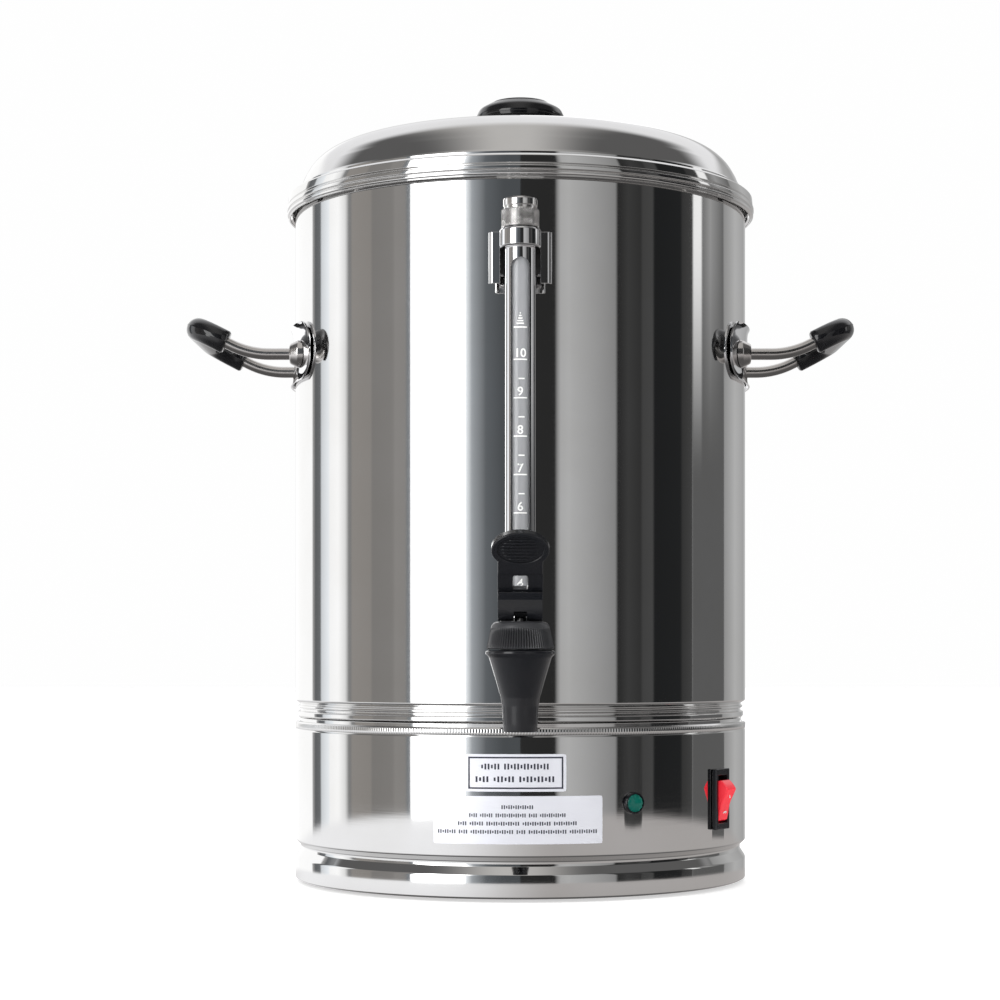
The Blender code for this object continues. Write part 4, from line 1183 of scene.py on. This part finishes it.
def dress_carried_nodes():
    """Gives every CAD node that stays its finished material."""
    for look, nodes in CARRIED.items():
        for node in nodes:
            obj = frame["nodes"][node]
            obj.data.materials.clear()
            obj.data.materials.append(LOOKS[look])


# ---------------------------------------------------------------- studio

# Flats and softboxes round the kettle: azimuth from, azimuth to (degrees right of the front), the
# light at each side, and the tint as red minus blue.
STUDIO = [
    (-180, -168, 0.50, 0.62, 0.0), (-168, -130, 0.80, 0.84, 0.0), (-130, -127, 0.30, 0.16, 0.0),
    (-127, -120, 0.10, 0.13, -0.02), (-120, -112, 0.55, 0.75, -0.02), (-112, -104, 0.80, 0.85, 0.0),
    (-104, -97, 0.85, 0.60, 0.0), (-97, -94, 0.22, 0.17, 0.0), (-94, -80, 0.215, 0.200, 0.03),
    (-80, -66, 0.165, 0.175, 0.02), (-66, -58, 0.205, 0.195, 0.02), (-58, -55, 0.16, 0.24, -0.03),
    (-55, -27, 2.50, 2.50, 0.0), (-27, -24, 0.75, 0.40, -0.02), (-24, -17, 0.30, 0.12, -0.03),
    (-17, -8, 0.105, 0.065, -0.04), (0, 18, 0.020, 0.018, 0.0), (18, 19, 0.20, 0.30, 0.0),
    (19, 25, 0.34, 0.37, 0.0), (25, 49, 0.35, 0.20, 0.0), (49, 56, 0.018, 0.040, 0.0),
    (56, 63, 0.035, 0.025, 0.0), (63, 70, 0.045, 0.052, 0.0), (70, 88, 0.012, 0.014, -0.02),
    (88, 96, 0.030, 0.045, 0.0), (96, 103, 0.75, 0.75, 0.0), (103, 112, 0.13, 0.28, 0.0),
    (112, 125, 0.24, 0.10, 0.0), (125, 140, 0.24, 0.36, 0.0), (140, 160, 0.36, 0.27, 0.0),
    (160, 174, 0.30, 0.45, 0.0), (174, 180, 0.90, 0.90, 0.0),
]
TOP_EDGE = 0.62            # sine of the elevation at which the flats end
TABLE_EDGE = -0.095        # sine of the elevation below which the table shows


def build_world():
    """A white room with the flats round its horizon, a dim ceiling in front and a pale table."""
    world = bpy.data.worlds.new("studio")
    bpy.context.scene.world = world
    world.use_nodes = True
    tree = world.node_tree
    tree.nodes.clear()

    def node(kind, **settings):
        made = tree.nodes.new(kind)
        for name, value in settings.items():
            setattr(made, name, value)
        return made

    def math_node(operation, one, two=None):
        made = node("ShaderNodeMath", operation=operation)
        for socket, value in zip(made.inputs, (one, two)):
            if isinstance(value, (int, float)):
                socket.default_value = value
            elif value is not None:
                tree.links.new(value, socket)
        return made.outputs[0]

    def blend(factor, one, two):
        mix = node("ShaderNodeMix", data_type="RGBA")
        tree.links.new(factor, mix.inputs["Factor"])
        for socket, value in zip([s for s in mix.inputs if s.type == "RGBA"], (one, two)):
            if isinstance(value, tuple):
                socket.default_value = value
            else:
                tree.links.new(value, socket)
        return next(s for s in mix.outputs if s.type == "RGBA")

    def step(value, begin, end):
        made = node("ShaderNodeMapRange", interpolation_type="SMOOTHSTEP")
        made.inputs["From Min"].default_value = begin
        made.inputs["From Max"].default_value = end
        tree.links.new(value, made.inputs["Value"])
        return made.outputs["Result"]

    split = node("ShaderNodeSeparateXYZ")
    tree.links.new(node("ShaderNodeTexCoord").outputs["Generated"], split.inputs["Vector"])
    x, y, z = (split.outputs[k] for k in "XYZ")
    azimuth = math_node("ARCTAN2", x, math_node("MULTIPLY", y, -1.0))
    around = math_node("ADD", math_node("DIVIDE", azimuth, math.tau), 0.5)
    flats = blend(math_node("LESS_THAN", around, 0.5), studio_ramp(tree, around, False),
                  studio_ramp(tree, around, True))
    behind_right = math_node("MULTIPLY", step(around, 0.765, 0.768), step(around, 0.849, 0.846))
    shaded = math_node("MULTIPLY", behind_right, step(z, 0.19, 0.07))
    flats = blend(shaded, flats, (0.085, 0.085, 0.085, 1))
    aside = step(math_node("ABSOLUTE", math_node("ADD", x, 0.05)), 0.05, 0.55)
    above = blend(aside, (0.41, 0.40, 0.39, 1), (0.085, 0.084, 0.084, 1))
    depth = math_node("SUBTRACT", y, math_node("MULTIPLY", math_node("MULTIPLY", x, x), 0.5))
    ceiling = blend(step(depth, 0.05, 0.40), above, (0.66, 0.66, 0.67, 1))
    height = math_node("ADD", z, math_node("MULTIPLY", step(y, -0.35, 0.0), 0.22))
    room = blend(step(height, TOP_EDGE, TOP_EDGE + 0.08), flats, ceiling)
    near = blend(step(x, -0.75, 0.35), (0.74, 0.74, 0.75, 1), (0.34, 0.325, 0.32, 1))
    table = blend(step(z, -0.75, -0.08), (0.08, 0.078, 0.078, 1), near)
    room = blend(step(z, TABLE_EDGE - 0.012, TABLE_EDGE), table, room)
    seen = blend(node("ShaderNodeLightPath").outputs["Is Camera Ray"], room, (0.70, 0.70, 0.70, 1))
    background = node("ShaderNodeBackground")
    background.inputs["Strength"].default_value = 1.42
    tree.links.new(seen, background.inputs["Color"])
    output = node("ShaderNodeOutputWorld")
    tree.links.new(background.outputs["Background"], output.inputs["Surface"])


def studio_ramp(tree, around, left):
    """One half of the flats as a colour ramp over the azimuth."""
    ramp = tree.nodes.new("ShaderNodeValToRGB")
    tree.links.new(around, ramp.inputs["Fac"])
    stops = []
    for begin, end, one, two, tint in STUDIO:
        if (begin < 0) == left:
            for azimuth, light in ((begin + 0.15, one), (end - 0.15, two)):
                colour = (max(light * (1 + tint * 2), 0), light, max(light * (1 - tint * 2), 0), 1)
                stops.append((azimuth / 360 + 0.5, colour))
    elements = ramp.color_ramp.elements
    while len(elements) < len(stops):
        elements.new(0.5)
    for element, (spot, colour) in zip(elements, stops):
        element.position = spot
        element.color = colour
    return ramp.outputs["Color"]


def build_stage():
    bm = bmesh.new()
    bmesh.ops.create_grid(bm, x_segments=1, y_segments=1, size=6000)
    floor = bpy.data.objects.new("floor", to_mesh("floor", bm))
    bpy.context.scene.collection.objects.link(floor)
    floor.location.z = -0.0002
    graph = Graph("floor", (0.90, 0.90, 0.90), 0.6)
    graph.set(graph.shader, **{"Emission Color": (1, 1, 1, 1), "Emission Strength": 0.52})
    floor.data.materials.append(graph.material)
    floor.visible_glossy = False


def add_light(name, spot, size, power, aim):
    data = bpy.data.lights.new(name, "AREA")
    data.shape = "RECTANGLE"
    data.size, data.size_y = size
    data.energy = power
    light = bpy.data.objects.new(name, data)
    bpy.context.scene.collection.objects.link(light)
    light.location = Vector(spot)
    light.rotation_euler = (Vector(spot) - Vector(aim)).to_track_quat("Z", "Y").to_euler()
    light.visible_glossy = False
    light.visible_camera = False


def build_lights():
    aim = (0, 0, 0.2)
    add_light("soft_left", (-1.2, -1.1, 1.0), (0.7, 1.2), 12.0, aim)
    add_light("soft_right", (1.3, -0.8, 0.9), (0.7, 1.2), 8.0, aim)
    add_light("overhead", (0, 0.2, 1.7), (1.4, 1.4), 10.0, aim)


def build_camera():
    data = bpy.data.cameras.new("camera")
    data.sensor_width = 36.0
    data.lens = 81.9
    data.shift_x, data.shift_y = -0.0203, 0.146
    data.clip_start, data.clip_end = 0.05, 50.0
    camera = bpy.data.objects.new("camera", data)
    bpy.context.scene.collection.objects.link(camera)
    camera.location = (0.0, (AXIS_Y - 1312.0) * MM, 0.1336)
    camera.rotation_euler = (math.pi / 2, 0, 0)
    bpy.context.scene.camera = camera
    bpy.context.scene.view_settings.view_transform = "Standard"


# ---------------------------------------------------------------- build

build_camera()
build_world()
build_stage()
build_lights()
make_tank()
make_base()
make_feet()
make_lid()
make_handle("right", 0.0)
make_handle("left", math.pi)
make_gauge()
make_tap()
make_lever()
make_switch()
make_lamp()
make_inlet()
make_labels()
dress_carried_nodes()

bpy.context.view_layer.update()
